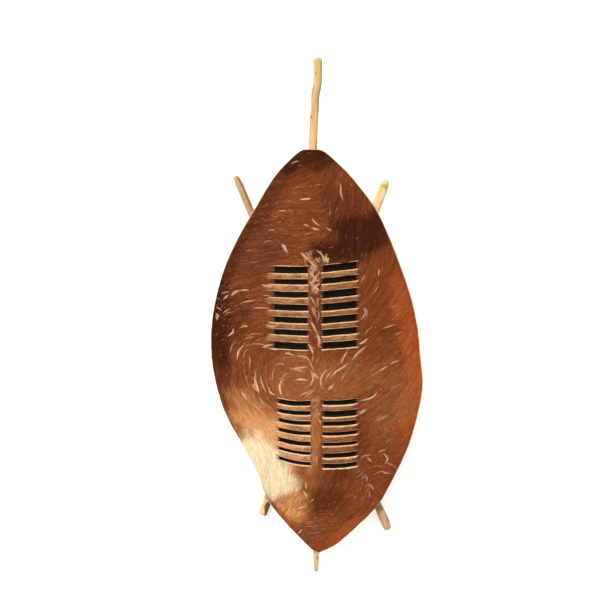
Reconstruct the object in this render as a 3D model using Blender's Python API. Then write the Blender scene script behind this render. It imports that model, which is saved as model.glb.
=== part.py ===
"""Hide shield lying hair side up: one laced cowhide over a long stick and two crossed sticks.

Metres. X runs across the hide, +Y to its upper tip, +Z away from the floor.
"""
import math

import bpy
from mathutils import Vector
from mathutils.geometry import delaunay_2d_cdt

# Hide
HIDE_LENGTH = 0.806
HIDE_WIDTH = 0.424
HIDE_THICK = 0.0024
RIM_STEP = 0.012  # spacing of the points along the rim
INNER_STEP = 0.030  # spacing of the points inside
KEEP_OFF = 0.42 * INNER_STEP  # even points stay this far from the rim and the cuts
SAME_SPOT = 1e-7  # points nearer than this are one
RIDGE_FLAT = 0.6  # the ridge is level over this share of the centre stick's radius
RIDGE_ENDS = (-0.0165, -0.0024)  # across, where the ridge meets the upper and the lower tip
RIDGE_ROUND = 0.028  # how softly the hide turns over the ridge
SIDE_FALL = 0.20  # slope of the two flanks
RIM_WARP = 0.003  # how far the dried rim lifts and dips
WARP_WAVES = 1.6  # over the hide's length
LEFT_PHASE = 1.0  # where each flank's warp starts at the middle, in radians
RIGHT_PHASE = 2.4

# The rim from the upper tip down, as fractions of the length and of the width.
# The hide is cut by eye, so its two sides differ.
LEFT_RIM = (
    (0.005, -0.08), (0.050, -0.172), (0.090, -0.228), (0.147, -0.292), (0.213, -0.366),
    (0.288, -0.432), (0.362, -0.474), (0.437, -0.497), (0.511, -0.497), (0.585, -0.474),
    (0.660, -0.427), (0.737, -0.346), (0.806, -0.276), (0.844, -0.252), (0.883, -0.214),
    (0.933, -0.134), (0.983, -0.040), (0.9935, -0.017),
)
RIGHT_RIM = (
    (0.005, 0.036), (0.050, 0.134), (0.090, 0.201), (0.147, 0.281), (0.213, 0.342),
    (0.288, 0.398), (0.362, 0.446), (0.437, 0.478), (0.511, 0.492), (0.585, 0.503),
    (0.660, 0.479), (0.737, 0.436), (0.806, 0.375), (0.844, 0.337), (0.883, 0.29),
    (0.933, 0.196), (0.9757, 0.1014), (0.989, 0.0571), (0.9968, 0.0231),
)
UPPER_TIP = (0.0, -0.026)
LOWER_TIP = (1.0, 0.0104)

# Cuts and lacing
FIT_GAP = 0.0003  # air between pieces that lie on one another
CUT_OPEN = 0.0010  # a cut stands open this much
END_OPEN = 0.2  # and this share of it at its two ends
ROWS = 7  # dark windows in a column
LACE_THICK = 0.0014
LACE_SIDE = 0.0010  # a cut's bulge stays full this far past the lacing's edge
LIP = 0.018  # the hide beyond the outermost cuts settles over this length
LACE_TAIL = 0.034  # the lacing runs on this far behind the hide
LACE_PARTS = 3  # flat stretches across the lacing's width
SETTLE_AT = (LIP / 2, LIP, LACE_TAIL)  # where hide and lacing have points beyond the cuts
TAIL_AT = (-CUT_OPEN, 0.0, *SETTLE_AT)

# One entry a column, from the middle of the hide: the lacing's two edges and the ends of the
# cuts as shares of the hide's width, outer end first, then as shares of its length the height
# of the first and of the last window's upper cut at both ends, a window's height and the sag.
COLUMN_SHARES = {
    "upper_left": dict(
        lace=(-0.2000, -0.0425), cut=(-0.2311, -0.0342),
        first=(0.2109, 0.2099), last=(0.0258, 0.0199),
        window=0.0151, sag=0.0010,
    ),
    "upper_right": dict(
        lace=(0.1887, 0.0283), cut=(0.2028, 0.0200),
        first=(0.2233, 0.2119), last=(0.0285, 0.0213),
        window=0.0172, sag=0.0005,
    ),
    "lower_left": dict(
        lace=(-0.1769, -0.0307), cut=(-0.1934, -0.0236),
        first=(-0.1161, -0.1221), last=(-0.2571, -0.2752),
        window=0.0094, sag=0.0040,
    ),
    "lower_right": dict(
        lace=(0.1863, 0.0330), cut=(0.2005, 0.0236),
        first=(-0.1166, -0.1211), last=(-0.2730, -0.2784),
        window=0.0110, sag=0.0027,
    ),
}

# Sticks
SIDES = 10  # whittled flats round a stick
FOOT = 0.060  # the last stretch of a cross stick lies level on the floor
BOW_PARTS = 5  # straight stretches between a foot and the crossing
CENTRE_PARTS = 6  # straight stretches of the centre stick behind the hide
CENTRE_RADIUS = 0.0088
LEFT_RADIUS = 0.0075
RIGHT_RADIUS = 0.0095
CENTRE_TOP = 0.184  # the centre stick stands out beyond the upper tip by this
CENTRE_BOTTOM = 0.038
CENTRE_KINK = ((0.0112, 0.0), (0.0104, 0.052), (0.0055, 0.076), (0.0022, 0.136))

# Ends of the cross sticks and places of the straps, as shares of the hide's width and length
LEFT_ENDS = ((-0.3840, 0.4360), (0.3410, -0.4459))
RIGHT_ENDS = ((0.3325, 0.4285), (-0.2582, -0.4092))
STRAP_AT = (0.3722, -0.4094)

# Each end as distances from the tip with the share of the radius there
ROUNDED = ((0.0, 0.50), (0.0015, 0.84), (0.0045, 1.0))
BLUNT = ((0.0, 0.72), (0.0025, 1.0))
NARROWED = ((0.0, 0.42), (0.002, 0.62), (0.008, 0.84), (0.020, 1.0))
KNOBBED = ((0.0, 0.80), (0.0025, 1.08), (0.008, 1.22), (0.030, 1.20))
WHITTLED = ((0.0, 0.30), (0.003, 0.60), (0.010, 0.96), (0.014, 1.0))
TAPERED = ((0.0, 0.38), (0.004, 0.54), (0.030, 0.66), (0.140, 1.0))

# Lash round the crossing and the two sewn straps
THONG_THICK = 0.0020
LASH_WIDTH = 0.012
LASH_SIDES = 20  # points laid round each stick to find the lash's line
STRAP_THICK = 0.0018
STRAP_WIDTH = 0.022
STRAP_WING = 0.024  # a sewn wing ends this far from the stick
WING_START = 0.004  # and lies flat from this far
WING_POINTS = 3  # points across a wing
STRAP_BENDS = 6  # flat stretches of a strap round the stick

# Heights that follow from the stack of sticks: right under left under centre
FLAT = math.cos(math.pi / SIDES)  # a stick's flats lie this share of its radius out
RIGHT_MID = THONG_THICK + 2 * FIT_GAP + RIGHT_RADIUS * FLAT
LEFT_MID = RIGHT_MID + (RIGHT_RADIUS + LEFT_RADIUS) * FLAT + FIT_GAP
CENTRE_MID = LEFT_MID + (LEFT_RADIUS + CENTRE_RADIUS) * FLAT + FIT_GAP
RIDGE_LOW = CENTRE_MID + CENTRE_RADIUS * FLAT + FIT_GAP + HIDE_THICK / 2
RIDGE_RISE = THONG_THICK + 2 * FIT_GAP
BULGE = (HIDE_THICK + LACE_THICK) / 2 + FIT_GAP  # rungs rise and hidden bands sink by this


def start_clean():
    for ob in list(bpy.data.objects):
        bpy.data.objects.remove(ob, do_unlink=True)


def material(name, colour, roughness):
    made = bpy.data.materials.new(name)
    made.use_nodes = True
    shader = made.node_tree.nodes["Principled BSDF"]
    shader.inputs["Base Color"].default_value = (*colour, 1.0)
    shader.inputs["Roughness"].default_value = roughness
    return made


def solid(name, points, faces, mat):
    """One closed body in its own object."""
    mesh = bpy.data.meshes.new(name)
    mesh.from_pydata([tuple(p) for p in points], [], faces)
    mesh.materials.append(mat)
    mesh.update()
    ob = bpy.data.objects.new(name, mesh)
    bpy.context.scene.collection.objects.link(ob)
    return ob


def ease(t):
    t = min(max(t, 0.0), 1.0)
    return t * t * (3 - 2 * t)


def between(a, b, t):
    return a + (b - a) * t


def spot_of(share):
    """A place on the hide from its shares of the width and of the length."""
    return share[0] * HIDE_WIDTH, share[1] * HIDE_LENGTH


def crossing(ends, others):
    """Where two straight sticks cross, seen from above."""
    (ax, ay), (bx, by) = map(spot_of, ends)
    (cx, cy), (dx, dy) = map(spot_of, others)
    turn = (bx - ax) * (dy - cy) - (by - ay) * (dx - cx)
    t = ((cx - ax) * (dy - cy) - (cy - ay) * (dx - cx)) / turn
    return between(ax, bx, t), between(ay, by, t)


def measured(shares):
    """A column of cuts in metres."""
    wide = ("lace", "cut")
    column = {}
    for key, value in shares.items():
        size = HIDE_WIDTH if key in wide else HIDE_LENGTH
        column[key] = tuple(v * size for v in value) if isinstance(value, tuple) else value * size
    return column


CROSS_X, CROSS_Y = crossing(LEFT_ENDS, RIGHT_ENDS)
COLUMNS = {name: measured(shares) for name, shares in COLUMN_SHARES.items()}
STRAPS = tuple(share * HIDE_LENGTH for share in STRAP_AT)


def ridge_x(y):
    return HIDE_WIDTH * between(*RIDGE_ENDS, 0.5 - y / HIDE_LENGTH)


def hide_height(x, y):
    """Height of the middle of the hide's thickness, before any bulge."""
    off = x - ridge_x(y)
    near = max(0.0, 1 - ((y - CROSS_Y) / min(STRAPS[0], -STRAPS[1])) ** 2)
    fall = SIDE_FALL * (math.hypot(off, RIDGE_ROUND) - RIDGE_ROUND)
    out = (off / (HIDE_WIDTH / 2)) ** 2
    phase = LEFT_PHASE if off < 0 else RIGHT_PHASE
    wave = math.sin(WARP_WAVES * 2 * math.pi * y / HIDE_LENGTH + phase)
    return RIDGE_LOW + RIDGE_RISE * near ** 2 - fall + RIM_WARP * out * wave


def curve_through(points, step):
    """Points about a step apart on a smooth curve through the given ones."""
    laid = []
    for i in range(len(points) - 1):
        a = points[max(i - 1, 0)]
        b, c = points[i], points[i + 1]
        d = points[min(i + 2, len(points) - 1)]
        count = max(1, round(math.dist(b, c) / step))
        for k in range(count):
            t = k / count
            laid.append(tuple(
                0.5 * (2 * q + (r - p) * t + (2 * p - 5 * q + 4 * r - s) * t * t
                       + (3 * q - p - 3 * r + s) * t ** 3)
                for p, q, r, s in zip(a, b, c, d)
            ))
    return laid


def rim_line(step):
    """The hide's outline, once round from the upper tip down the left side."""
    def spot(down, across):
        return across * HIDE_WIDTH, (0.5 - down) * HIDE_LENGTH

    left = [spot(*p) for p in (UPPER_TIP, *LEFT_RIM, LOWER_TIP)]
    right = [spot(*p) for p in (LOWER_TIP, *reversed(RIGHT_RIM), UPPER_TIP)]
    return curve_through(left, step) + curve_through(right, step)


def stations(column):
    """Places along a cut with the share of the bulge there, from the outer end in."""
    out, inn = column["lace"]
    cut_out, cut_in = column["cut"]
    way = 1 if cut_in > cut_out else -1
    full_out = out - way * LACE_SIDE
    full_in = inn + way * LACE_SIDE
    places = [(cut_out, 0.0), (between(cut_out, full_out, 0.5), 0.5), (full_out, 1.0)]
    places += [(x, 1.0) for x in lace_places(out, inn)]
    places += [(full_in, 1.0), (cut_in, 0.0)]
    return places


def lace_places(out, inn):
    """Places across the lacing between its two edges."""
    return [between(out, inn, k / LACE_PARTS) for k in range(1, LACE_PARTS)]


def cut_height(column, window, lower, x):
    """Height up the hide of a window's upper or lower cut at x."""
    out, inn = column["cut"]
    t = (x - out) / (inn - out)
    part = window / (ROWS - 1)
    y = between(between(*column["first"], t), between(*column["last"], t), part)
    y -= column["sag"] * 4 * t * (1 - t)
    return y - (column["window"] if lower else 0.0)


def cut_loop(column, window, lower):
    """One cut as (x, y, bulge) round its opening; its upper side first."""
    up_sign, down_sign = (-1, 1) if lower else (1, -1)
    shift = CUT_OPEN if lower else 0.0
    places = stations(column)
    upper, under = [], []
    for x, share in places[1:-1]:
        y = cut_height(column, window, lower, x) + shift
        upper.append((x, y, up_sign * BULGE * share))
        under.append((x, y - CUT_OPEN * min(1.0, share + END_OPEN), down_sign * BULGE * share))
    ends = []
    for x, _ in (places[0], places[-1]):
        ends.append((x, cut_height(column, window, lower, x) + shift - CUT_OPEN / 2, 0.0))
    return [ends[0], *upper, ends[1], *reversed(under)]


def lips(column):
    """Points that let the hide settle beyond the first and the last cut of a column."""
    found = []
    for window, lower, way in ((0, False, 1), (ROWS - 1, True, -1)):
        for x, share in stations(column):
            y = cut_height(column, window, lower, x)
            for beyond in SETTLE_AT:
                found.append((x, y + way * beyond, BULGE * share * ease(1 - beyond / LIP)))
    return found


def inside(x, y, loop):
    """Whether a spot lies within a closed line."""
    hit = False
    for (ax, ay, *_), (bx, by, *_) in zip(loop, loop[1:] + loop[:1]):
        if (ay > y) != (by > y) and x < ax + (y - ay) / (by - ay) * (bx - ax):
            hit = not hit
    return hit


def reach(column):
    """The box round a column's cuts and lips."""
    xs = column["cut"]
    ys = [cut_height(column, w, low, x) for w, low in ((0, False), (ROWS - 1, True)) for x in xs]
    return min(xs), max(xs), min(ys) - LACE_TAIL, max(ys) + LACE_TAIL


def ridge_lines(rim):
    """Two lines of points that keep the hide level over the centre stick."""
    count = round(HIDE_LENGTH / INNER_STEP)
    lines = []
    for way in (-1, 1):
        line = []
        for k in range(1, count):
            y = HIDE_LENGTH * (k / count - 0.5)
            x = ridge_x(y) + way * CENTRE_RADIUS * RIDGE_FLAT
            if inside(x, y, rim) and min(math.dist((x, y), p) for p in rim) > KEEP_OFF / 2:
                line.append((x, y, 0.0))
        lines.append(line)
    return lines


def wing_places(y):
    """Across a strap's two wings, from the left end to the right end."""
    near = CENTRE_RADIUS + FIT_GAP + STRAP_THICK / 2
    shares = [k / (WING_POINTS - 1) for k in range(WING_POINTS)]
    outward = [near + between(STRAP_WING, WING_START, share) for share in shares]
    mid = ridge_x(y)
    return [mid - off for off in outward] + [mid + off for off in reversed(outward)]


def strap_seats():
    """Where the straps' wings lie against the back of the hide."""
    found = []
    for middle in STRAPS:
        for way in (-0.5, 0.5):
            y = middle + way * STRAP_WIDTH
            found += [(x, y, 0.0) for x in wing_places(y)]
    return found


def filler_points(rim):
    """Even points inside the rim, kept off the rim, the ridge and the columns of cuts."""
    off = KEEP_OFF
    boxes = [reach(c) for c in COLUMNS.values()]
    wide, deep = STRAP_WING + CENTRE_RADIUS, STRAP_WIDTH / 2
    boxes += [(ridge_x(y) - wide, ridge_x(y) + wide, y - deep, y + deep) for y in STRAPS]
    found = []
    across = int(HIDE_WIDTH / INNER_STEP / 2) + 1
    down = int(HIDE_LENGTH / INNER_STEP / 2) + 1
    for j in range(-down, down + 1):
        for i in range(-across, across + 1):
            x = (i + 0.5 * (j % 2)) * INNER_STEP
            y = j * INNER_STEP
            boxed = any(a - off < x < b + off and c - off < y < d + off for a, b, c, d in boxes)
            if boxed or abs(x - ridge_x(y)) < off or not inside(x, y, rim):
                continue
            if min(math.dist((x, y), p) for p in rim) > off:
                found.append((x, y, 0.0))
    return found


def build_hide(mat):
    rim = [(x, y, 0.0) for x, y in rim_line(RIM_STEP)]
    cuts = [
        cut_loop(column, window, lower)
        for column in COLUMNS.values() for window in range(ROWS) for lower in (False, True)
    ]
    spots, edges = [], []
    for loop in (rim, *cuts):
        first = len(spots)
        spots += loop
        edges += [(first + i, first + (i + 1) % len(loop)) for i in range(len(loop))]
    for column in COLUMNS.values():
        spots += lips(column)
    flat_rim = [p[:2] for p in rim]
    for line in ridge_lines(flat_rim):
        first = len(spots)
        spots += line
        edges += [(first + i, first + i + 1) for i in range(len(line) - 1)]
    spots += strap_seats() + filler_points(flat_rim)
    flat = [Vector(p[:2]) for p in spots]
    where, _, faces, origin, _, _ = delaunay_2d_cdt(flat, edges, [], 0, SAME_SPOT)
    bulge = [spots[o[0]][2] for o in origin]
    kept = []
    for face in faces:
        mx = sum(where[i].x for i in face) / 3
        my = sum(where[i].y for i in face) / 3
        if inside(mx, my, rim) and not any(inside(mx, my, loop) for loop in cuts):
            kept.append(tuple(face))
    return thick_sheet("hide_face", where, bulge, kept, mat)


def thick_sheet(name, where, bulge, faces, mat):
    """The sheet's two sides and the walls round its rim and its cuts."""
    count = len(where)
    points = []
    for way in (1, -1):
        for spot, up in zip(where, bulge):
            z = hide_height(spot.x, spot.y) + up + way * HIDE_THICK / 2
            points.append((spot.x, spot.y, z))
    sides = {}
    for face in faces:
        for a, b in zip(face, face[1:] + face[:1]):
            sides[(a, b)] = True
    shell = list(faces)
    shell += [tuple(i + count for i in reversed(face)) for face in faces]
    for a, b in sides:
        if (b, a) not in sides:
            shell.append((b, a, a + count))
            shell.append((b, a + count, b + count))
    return solid(name, points, shell, mat)


def slab(name, rows, thick, mat):
    """A sheet given by rows of middle points, made solid."""
    down, across = len(rows), len(rows[0])
    ups = []
    for j in range(down):
        for i in range(across):
            along = rows[j][min(i + 1, across - 1)] - rows[j][max(i - 1, 0)]
            onward = rows[min(j + 1, down - 1)][i] - rows[max(j - 1, 0)][i]
            ups.append(along.cross(onward).normalized())
    middle = [p for row in rows for p in row]
    points = [p + n * thick / 2 for p, n in zip(middle, ups)]
    points += [p - n * thick / 2 for p, n in zip(middle, ups)]
    count = down * across
    faces = []
    for j in range(down - 1):
        for i in range(across - 1):
            a = j * across + i
            quad = (a, a + 1, a + across + 1, a + across)
            faces.append(quad)
            faces.append(tuple(k + count for k in reversed(quad)))
    round_it = list(range(across))
    round_it += [j * across + across - 1 for j in range(1, down)]
    round_it += [(down - 1) * across + i for i in range(across - 2, -1, -1)]
    round_it += [j * across for j in range(down - 2, 0, -1)]
    for a, b in zip(round_it, round_it[1:] + round_it[:1]):
        faces.append((b, a, a + count, b + count))
    return solid(name, points, faces, mat)


def build_lacing(name, column, mat):
    """The strip lies under the rungs and over the hidden bands, its ends behind the hide."""
    out, inn = column["lace"]
    xs = sorted([out, inn] + lace_places(out, inn))
    rows = []
    for beyond in reversed(TAIL_AT):
        rows.append(lace_row(column, xs, 0, False, 1, beyond))
    for window in range(1, ROWS, 2):
        rows.append(lace_row(column, xs, window, False, 1, 0.0))
    for beyond in TAIL_AT:
        rows.append(lace_row(column, xs, ROWS - 1, True, -1, beyond))
    rows.reverse()
    return slab("lacing_" + name, rows, LACE_THICK, mat)


def lace_row(column, xs, window, lower, way, beyond):
    """Points across the lacing at a cut, or that far beyond it."""
    row = []
    for x in xs:
        y = cut_height(column, window, lower, x) + way * beyond
        sink = BULGE * (1 - ease(1 - beyond / LIP)) if beyond > 0 else 0.0
        row.append(Vector((x, y, hide_height(x, y) - sink)))
    return row


def build_stick(name, path, mat):
    """A whittled stick: path gives the middle point and the radius at each ring."""
    points, faces = [], []
    last = len(path) - 1
    for k, (middle, radius) in enumerate(path):
        ahead = path[min(k + 1, last)][0] - path[max(k - 1, 0)][0]
        side = Vector((-ahead.y, ahead.x, 0.0)).normalized()
        for i in range(SIDES):
            turn = 2 * math.pi * i / SIDES
            lift = math.sin(turn) * radius
            points.append(middle + side * math.cos(turn) * radius + Vector((0, 0, lift)))
        if k:
            for i in range(SIDES):
                a = (k - 1) * SIDES + i
                b = (k - 1) * SIDES + (i + 1) % SIDES
                faces.append((a, b, b + SIDES, a + SIDES))
    faces.append(tuple(reversed(range(SIDES))))
    faces.append(tuple(range(last * SIDES, (last + 1) * SIDES)))
    return solid(name, points, faces, mat)


def cross_stick(name, ends, radius, middle_height, styles, mat):
    """A stick whose two feet lie level on the floor and which bows up to the crossing."""
    start, finish = (Vector((*spot_of(end), 0.0)) for end in ends)
    whole = (finish - start).length
    way = (finish - start).normalized()
    meet = (Vector((CROSS_X, CROSS_Y, 0.0)) - start).length
    low = radius * FLAT
    places = list(styles[0])
    places += [(between(FOOT, meet, k / BOW_PARTS), 1.0) for k in range(BOW_PARTS)]
    places += [(between(meet, whole - FOOT, k / BOW_PARTS), 1.0) for k in range(BOW_PARTS + 1)]
    places += [(whole - d, share) for d, share in reversed(styles[1])]
    path = []
    for d, share in places:
        arm = meet - FOOT if d < meet else whole - meet - FOOT
        rise = 1 - min(abs(d - meet) / arm, 1.0)
        z = low * max(share, 1.0) + (middle_height - low) * ease(rise)
        path.append((start + way * d + Vector((0, 0, z)), radius * share))
    return build_stick(name, path, mat)


def centre_stick(mat):
    top = HIDE_LENGTH / 2 + CENTRE_TOP
    bottom = -HIDE_LENGTH / 2 - CENTRE_BOTTOM
    places = list(ROUNDED)
    places += [(kink[1], 1.0) for kink in CENTRE_KINK[1:]] + [(CENTRE_TOP, 1.0)]
    whole = top - bottom
    for k in range(1, CENTRE_PARTS):
        places.append((between(CENTRE_TOP, whole - TAPERED[-1][0], k / CENTRE_PARTS), 1.0))
    places += [(whole - d, share) for d, share in reversed(TAPERED)]
    path = []
    for d, share in places:
        y = top - d
        x = ridge_x(y) + kink_off(d)
        path.append((Vector((x, y, CENTRE_MID)), CENTRE_RADIUS * share))
    return build_stick("centre_stick", path, mat)


def kink_off(d):
    """How far the stick's crooked upper end stands off its line."""
    places = (*CENTRE_KINK, (0.0, CENTRE_TOP))
    for (a, da), (b, db) in zip(places, places[1:]):
        if d <= db:
            return between(a, b, (d - da) / (db - da))
    return 0.0


def hull(points):
    """The convex line round flat points, turning left."""
    points = sorted(set(points))
    half = []
    for run in (points, points[::-1]):
        line = []
        for p in run:
            while len(line) > 1 and (
                (line[-1][0] - line[-2][0]) * (p[1] - line[-2][1])
                - (line[-1][1] - line[-2][1]) * (p[0] - line[-2][0])
            ) <= 1e-12:
                line.pop()
            line.append(p)
        half += line[:-1]
    return half


def lash_line(grow):
    """The line round the three sticks at their crossing, that far outside them."""
    spots = [[spot_of(end) for end in ends] for ends in (LEFT_ENDS, RIGHT_ENDS)]
    lean = max(abs((ax - bx) / (ay - by)) for (ax, ay), (bx, by) in spots)
    slide = lean * LASH_WIDTH / 2
    rounds = [(ridge_x(CROSS_Y), CENTRE_MID, CENTRE_RADIUS)]
    for way in (-1, 1):
        rounds.append((CROSS_X + way * slide, LEFT_MID, LEFT_RADIUS / math.cos(math.atan(lean))))
        rounds.append((CROSS_X + way * slide, RIGHT_MID, RIGHT_RADIUS / math.cos(math.atan(lean))))
    points = []
    for x, z, radius in rounds:
        for i in range(LASH_SIDES):
            turn = 2 * math.pi * (i + 0.5) / LASH_SIDES
            px = x + (radius + grow) * math.cos(turn)
            pz = z + (radius + grow) * math.sin(turn)
            points.append((round(px, 7), round(pz, 7)))
    return hull(points)


def build_lash(mat):
    """A band of thong that takes in all three sticks."""
    inner = lash_line(FIT_GAP)
    mid_x = sum(p[0] for p in inner) / len(inner)
    mid_z = sum(p[1] for p in inner) / len(inner)
    floor = FIT_GAP
    ceiling = CENTRE_MID + CENTRE_RADIUS * FLAT + FIT_GAP + THONG_THICK
    rings = []
    for way in (-1, 1):
        for extra in (0.0, THONG_THICK):
            ring = []
            for x, z in inner:
                out = Vector((x - mid_x, 0.0, z - mid_z)).normalized() * extra
                high = min(max(z + out.z, floor), ceiling)
                ring.append(Vector((x + out.x, CROSS_Y + way * LASH_WIDTH / 2, high)))
            rings.append(ring)
    count = len(inner)
    points = [p for ring in rings for p in ring]
    faces = []
    for i in range(count):
        j = (i + 1) % count
        front_in, front_out, back_in, back_out = (k * count for k in range(4))
        faces.append((front_in + i, front_out + i, front_out + j, front_in + j))
        faces.append((back_in + i, back_in + j, back_out + j, back_out + i))
        faces.append((front_out + i, back_out + i, back_out + j, front_out + j))
        faces.append((front_in + i, front_in + j, back_in + j, back_in + i))
    return solid("crossing_lash", points, faces, mat)


def strap_line(y):
    """The middle line of a strap: wing, down round the stick, wing."""
    mid = ridge_x(y)
    turn_radius = CENTRE_RADIUS + FIT_GAP + STRAP_THICK / 2
    drop = HIDE_THICK / 2 + FIT_GAP + STRAP_THICK / 2
    wings = [Vector((x, y, hide_height(x, y) - drop)) for x in wing_places(y)]
    bend = []
    for k in range(STRAP_BENDS + 1):
        turn = math.pi * (1 + k / STRAP_BENDS)
        across = mid + turn_radius * math.cos(turn)
        bend.append(Vector((across, y, CENTRE_MID + turn_radius * math.sin(turn))))
    return wings[:WING_POINTS] + bend + wings[WING_POINTS:]


def build_strap(name, y, mat):
    rows = [strap_line(y + STRAP_WIDTH * (k - 0.5)) for k in range(2)]
    return slab(name, rows, STRAP_THICK, mat)


def settle_origin():
    """Puts the middle of the whole thing's footprint at the world's origin."""
    meshes = [ob.data for ob in bpy.data.objects if ob.type == "MESH"]
    spots = [v.co for mesh in meshes for v in mesh.vertices]
    low = Vector([min(p[k] for p in spots) for k in range(3)])
    high = Vector([max(p[k] for p in spots) for k in range(3)])
    shift = Vector((-(low.x + high.x) / 2, -(low.y + high.y) / 2, -low.z))
    for mesh in meshes:
        for vertex in mesh.vertices:
            vertex.co += shift
        mesh.update()


def build():
    start_clean()
    hide = material("Hide", (0.33, 0.12, 0.045), 0.45)
    black = material("BlackHide", (0.018, 0.012, 0.010), 0.6)
    wood = material("PeeledWood", (0.72, 0.52, 0.30), 0.55)
    rawhide = material("Rawhide", (0.50, 0.36, 0.22), 0.65)
    build_hide(hide)
    for name, column in COLUMNS.items():
        build_lacing(name, column, black)
    centre_stick(wood)
    left_style, right_style = (NARROWED, KNOBBED), (WHITTLED, BLUNT)
    cross_stick("cross_stick_left", LEFT_ENDS, LEFT_RADIUS, LEFT_MID, left_style, wood)
    cross_stick("cross_stick_right", RIGHT_ENDS, RIGHT_RADIUS, RIGHT_MID, right_style, wood)
    build_lash(rawhide)
    build_strap("strap_upper", STRAPS[0], rawhide)
    build_strap("strap_lower", STRAPS[1], rawhide)
    settle_origin()


build()
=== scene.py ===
"""Looks of the hide shield: hair, lacing, whittled sticks, thong and straps round the fixed model.

Metres. Places are measured from the middle of the hide, X across it and +Y to its upper tip;
SHIFT carries them into the frame of the model.
"""
import math

import bpy
import numpy as np
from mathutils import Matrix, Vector
from mathutils.geometry import delaunay_2d_cdt


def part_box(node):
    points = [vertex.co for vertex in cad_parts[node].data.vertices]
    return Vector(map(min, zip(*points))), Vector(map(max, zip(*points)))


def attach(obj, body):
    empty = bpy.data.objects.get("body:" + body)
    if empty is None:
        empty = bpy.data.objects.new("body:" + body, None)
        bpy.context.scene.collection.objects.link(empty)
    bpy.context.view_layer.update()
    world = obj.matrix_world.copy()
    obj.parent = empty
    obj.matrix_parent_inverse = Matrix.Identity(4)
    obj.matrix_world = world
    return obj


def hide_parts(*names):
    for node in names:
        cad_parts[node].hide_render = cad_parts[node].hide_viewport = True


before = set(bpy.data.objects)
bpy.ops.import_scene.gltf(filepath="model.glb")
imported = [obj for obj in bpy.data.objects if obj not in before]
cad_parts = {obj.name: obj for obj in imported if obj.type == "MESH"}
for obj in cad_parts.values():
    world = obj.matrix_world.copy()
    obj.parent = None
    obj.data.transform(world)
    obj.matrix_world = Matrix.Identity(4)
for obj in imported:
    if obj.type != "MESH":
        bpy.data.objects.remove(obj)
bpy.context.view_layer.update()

# Hide
HIDE_LENGTH = 0.806
HIDE_WIDTH = 0.424
HIDE_THICK = 0.0024
RIDGE_ENDS = (-0.0165, -0.0024)
RIDGE_ROUND = 0.028
SIDE_FALL = 0.20
RIM_WARP = 0.003
WARP_WAVES = 1.6
LEFT_PHASE = 1.0
RIGHT_PHASE = 2.4
RIM_STEP = 0.0025
INNER_STEP = 0.005
RIM_BEVEL = 0.0013  # width of the pale cut rim seen from above
BEVEL_DROP = 0.0010

LEFT_RIM = (
    (0.005, -0.08), (0.050, -0.172), (0.090, -0.228), (0.147, -0.292), (0.213, -0.366),
    (0.288, -0.432), (0.362, -0.474), (0.437, -0.497), (0.511, -0.497), (0.585, -0.474),
    (0.660, -0.427), (0.737, -0.346), (0.806, -0.276), (0.844, -0.252), (0.883, -0.214),
    (0.933, -0.134), (0.983, -0.040), (0.9935, -0.017),
)
RIGHT_RIM = (
    (0.005, 0.036), (0.050, 0.134), (0.090, 0.201), (0.147, 0.281), (0.213, 0.342),
    (0.288, 0.398), (0.362, 0.446), (0.437, 0.478), (0.511, 0.492), (0.585, 0.503),
    (0.660, 0.479), (0.737, 0.436), (0.806, 0.375), (0.844, 0.337), (0.883, 0.29),
    (0.933, 0.196), (0.9757, 0.1014), (0.989, 0.0571), (0.9968, 0.0231),
)
UPPER_TIP = (0.0, -0.026)
LOWER_TIP = (1.0, 0.0104)

# Cuts and lacing
FIT_GAP = 0.0003
CUT_OPEN = 0.0010
SLIT = 0.00012
ROWS = 7
LACE_THICK = 0.0014
LACE_SIDE = 0.0010
LACE_BEVEL = 0.0011
LIP = 0.018
LACE_TAIL = 0.034
RUNG_CROWN = 0.0012  # the middle of a rung stands this much above its edges
CUT_WANDER = 0.00035  # how far a hand-cut line strays
STATION_STEP = 0.003
BEVEL_ROWS = (0.4, 0.7, 1.0, 1.4)  # rows of points beside a cut, in widths of its bare edge
LIP_ROWS = (0.006, 0.009, 0.012, 0.015, 0.018)

# Points of the hide and the lacing
OUTER_STEP = 0.0022  # along a cut, from its outer end to the full bulge
END_STEP = 0.0012  # and from the full bulge to its inner end
LACE_FLANK = 0.0002  # points this far to both sides of a lacing's edge
ROW_CLEAR = 0.0006  # rows of points on a rung keep this far from its cuts
RIM_ROWS = (0.5, 1.0, 2.2)  # rings of points inside the rim, in widths of its bevel
RIM_CLEAR = 3.2  # the even points start here, in the same widths
CUT_CLEAR = 0.002  # and this far beyond the ends of the cuts
LIP_CLEAR = 0.0025  # and this far beyond the lips above and below a column
FIELD = (0.22, 0.405)  # half sizes of the field of even points, cut to the rim
LOCK_FIELD = (0.215, 0.403)  # and of the field where hair is scattered
RIM_WOBBLE = 0.0003
FACE_WAVE = 0.00025
LACE_INSET = 0.004  # its inner points start this far from its sides
TAIL_ROWS = 14
BAND_ROWS = 4
WINDOW_CROWN = 0.0006  # the lacing's rise in the middle of a window
LACE_DROP = 0.0004  # how far its two sides lie below its middle

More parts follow.
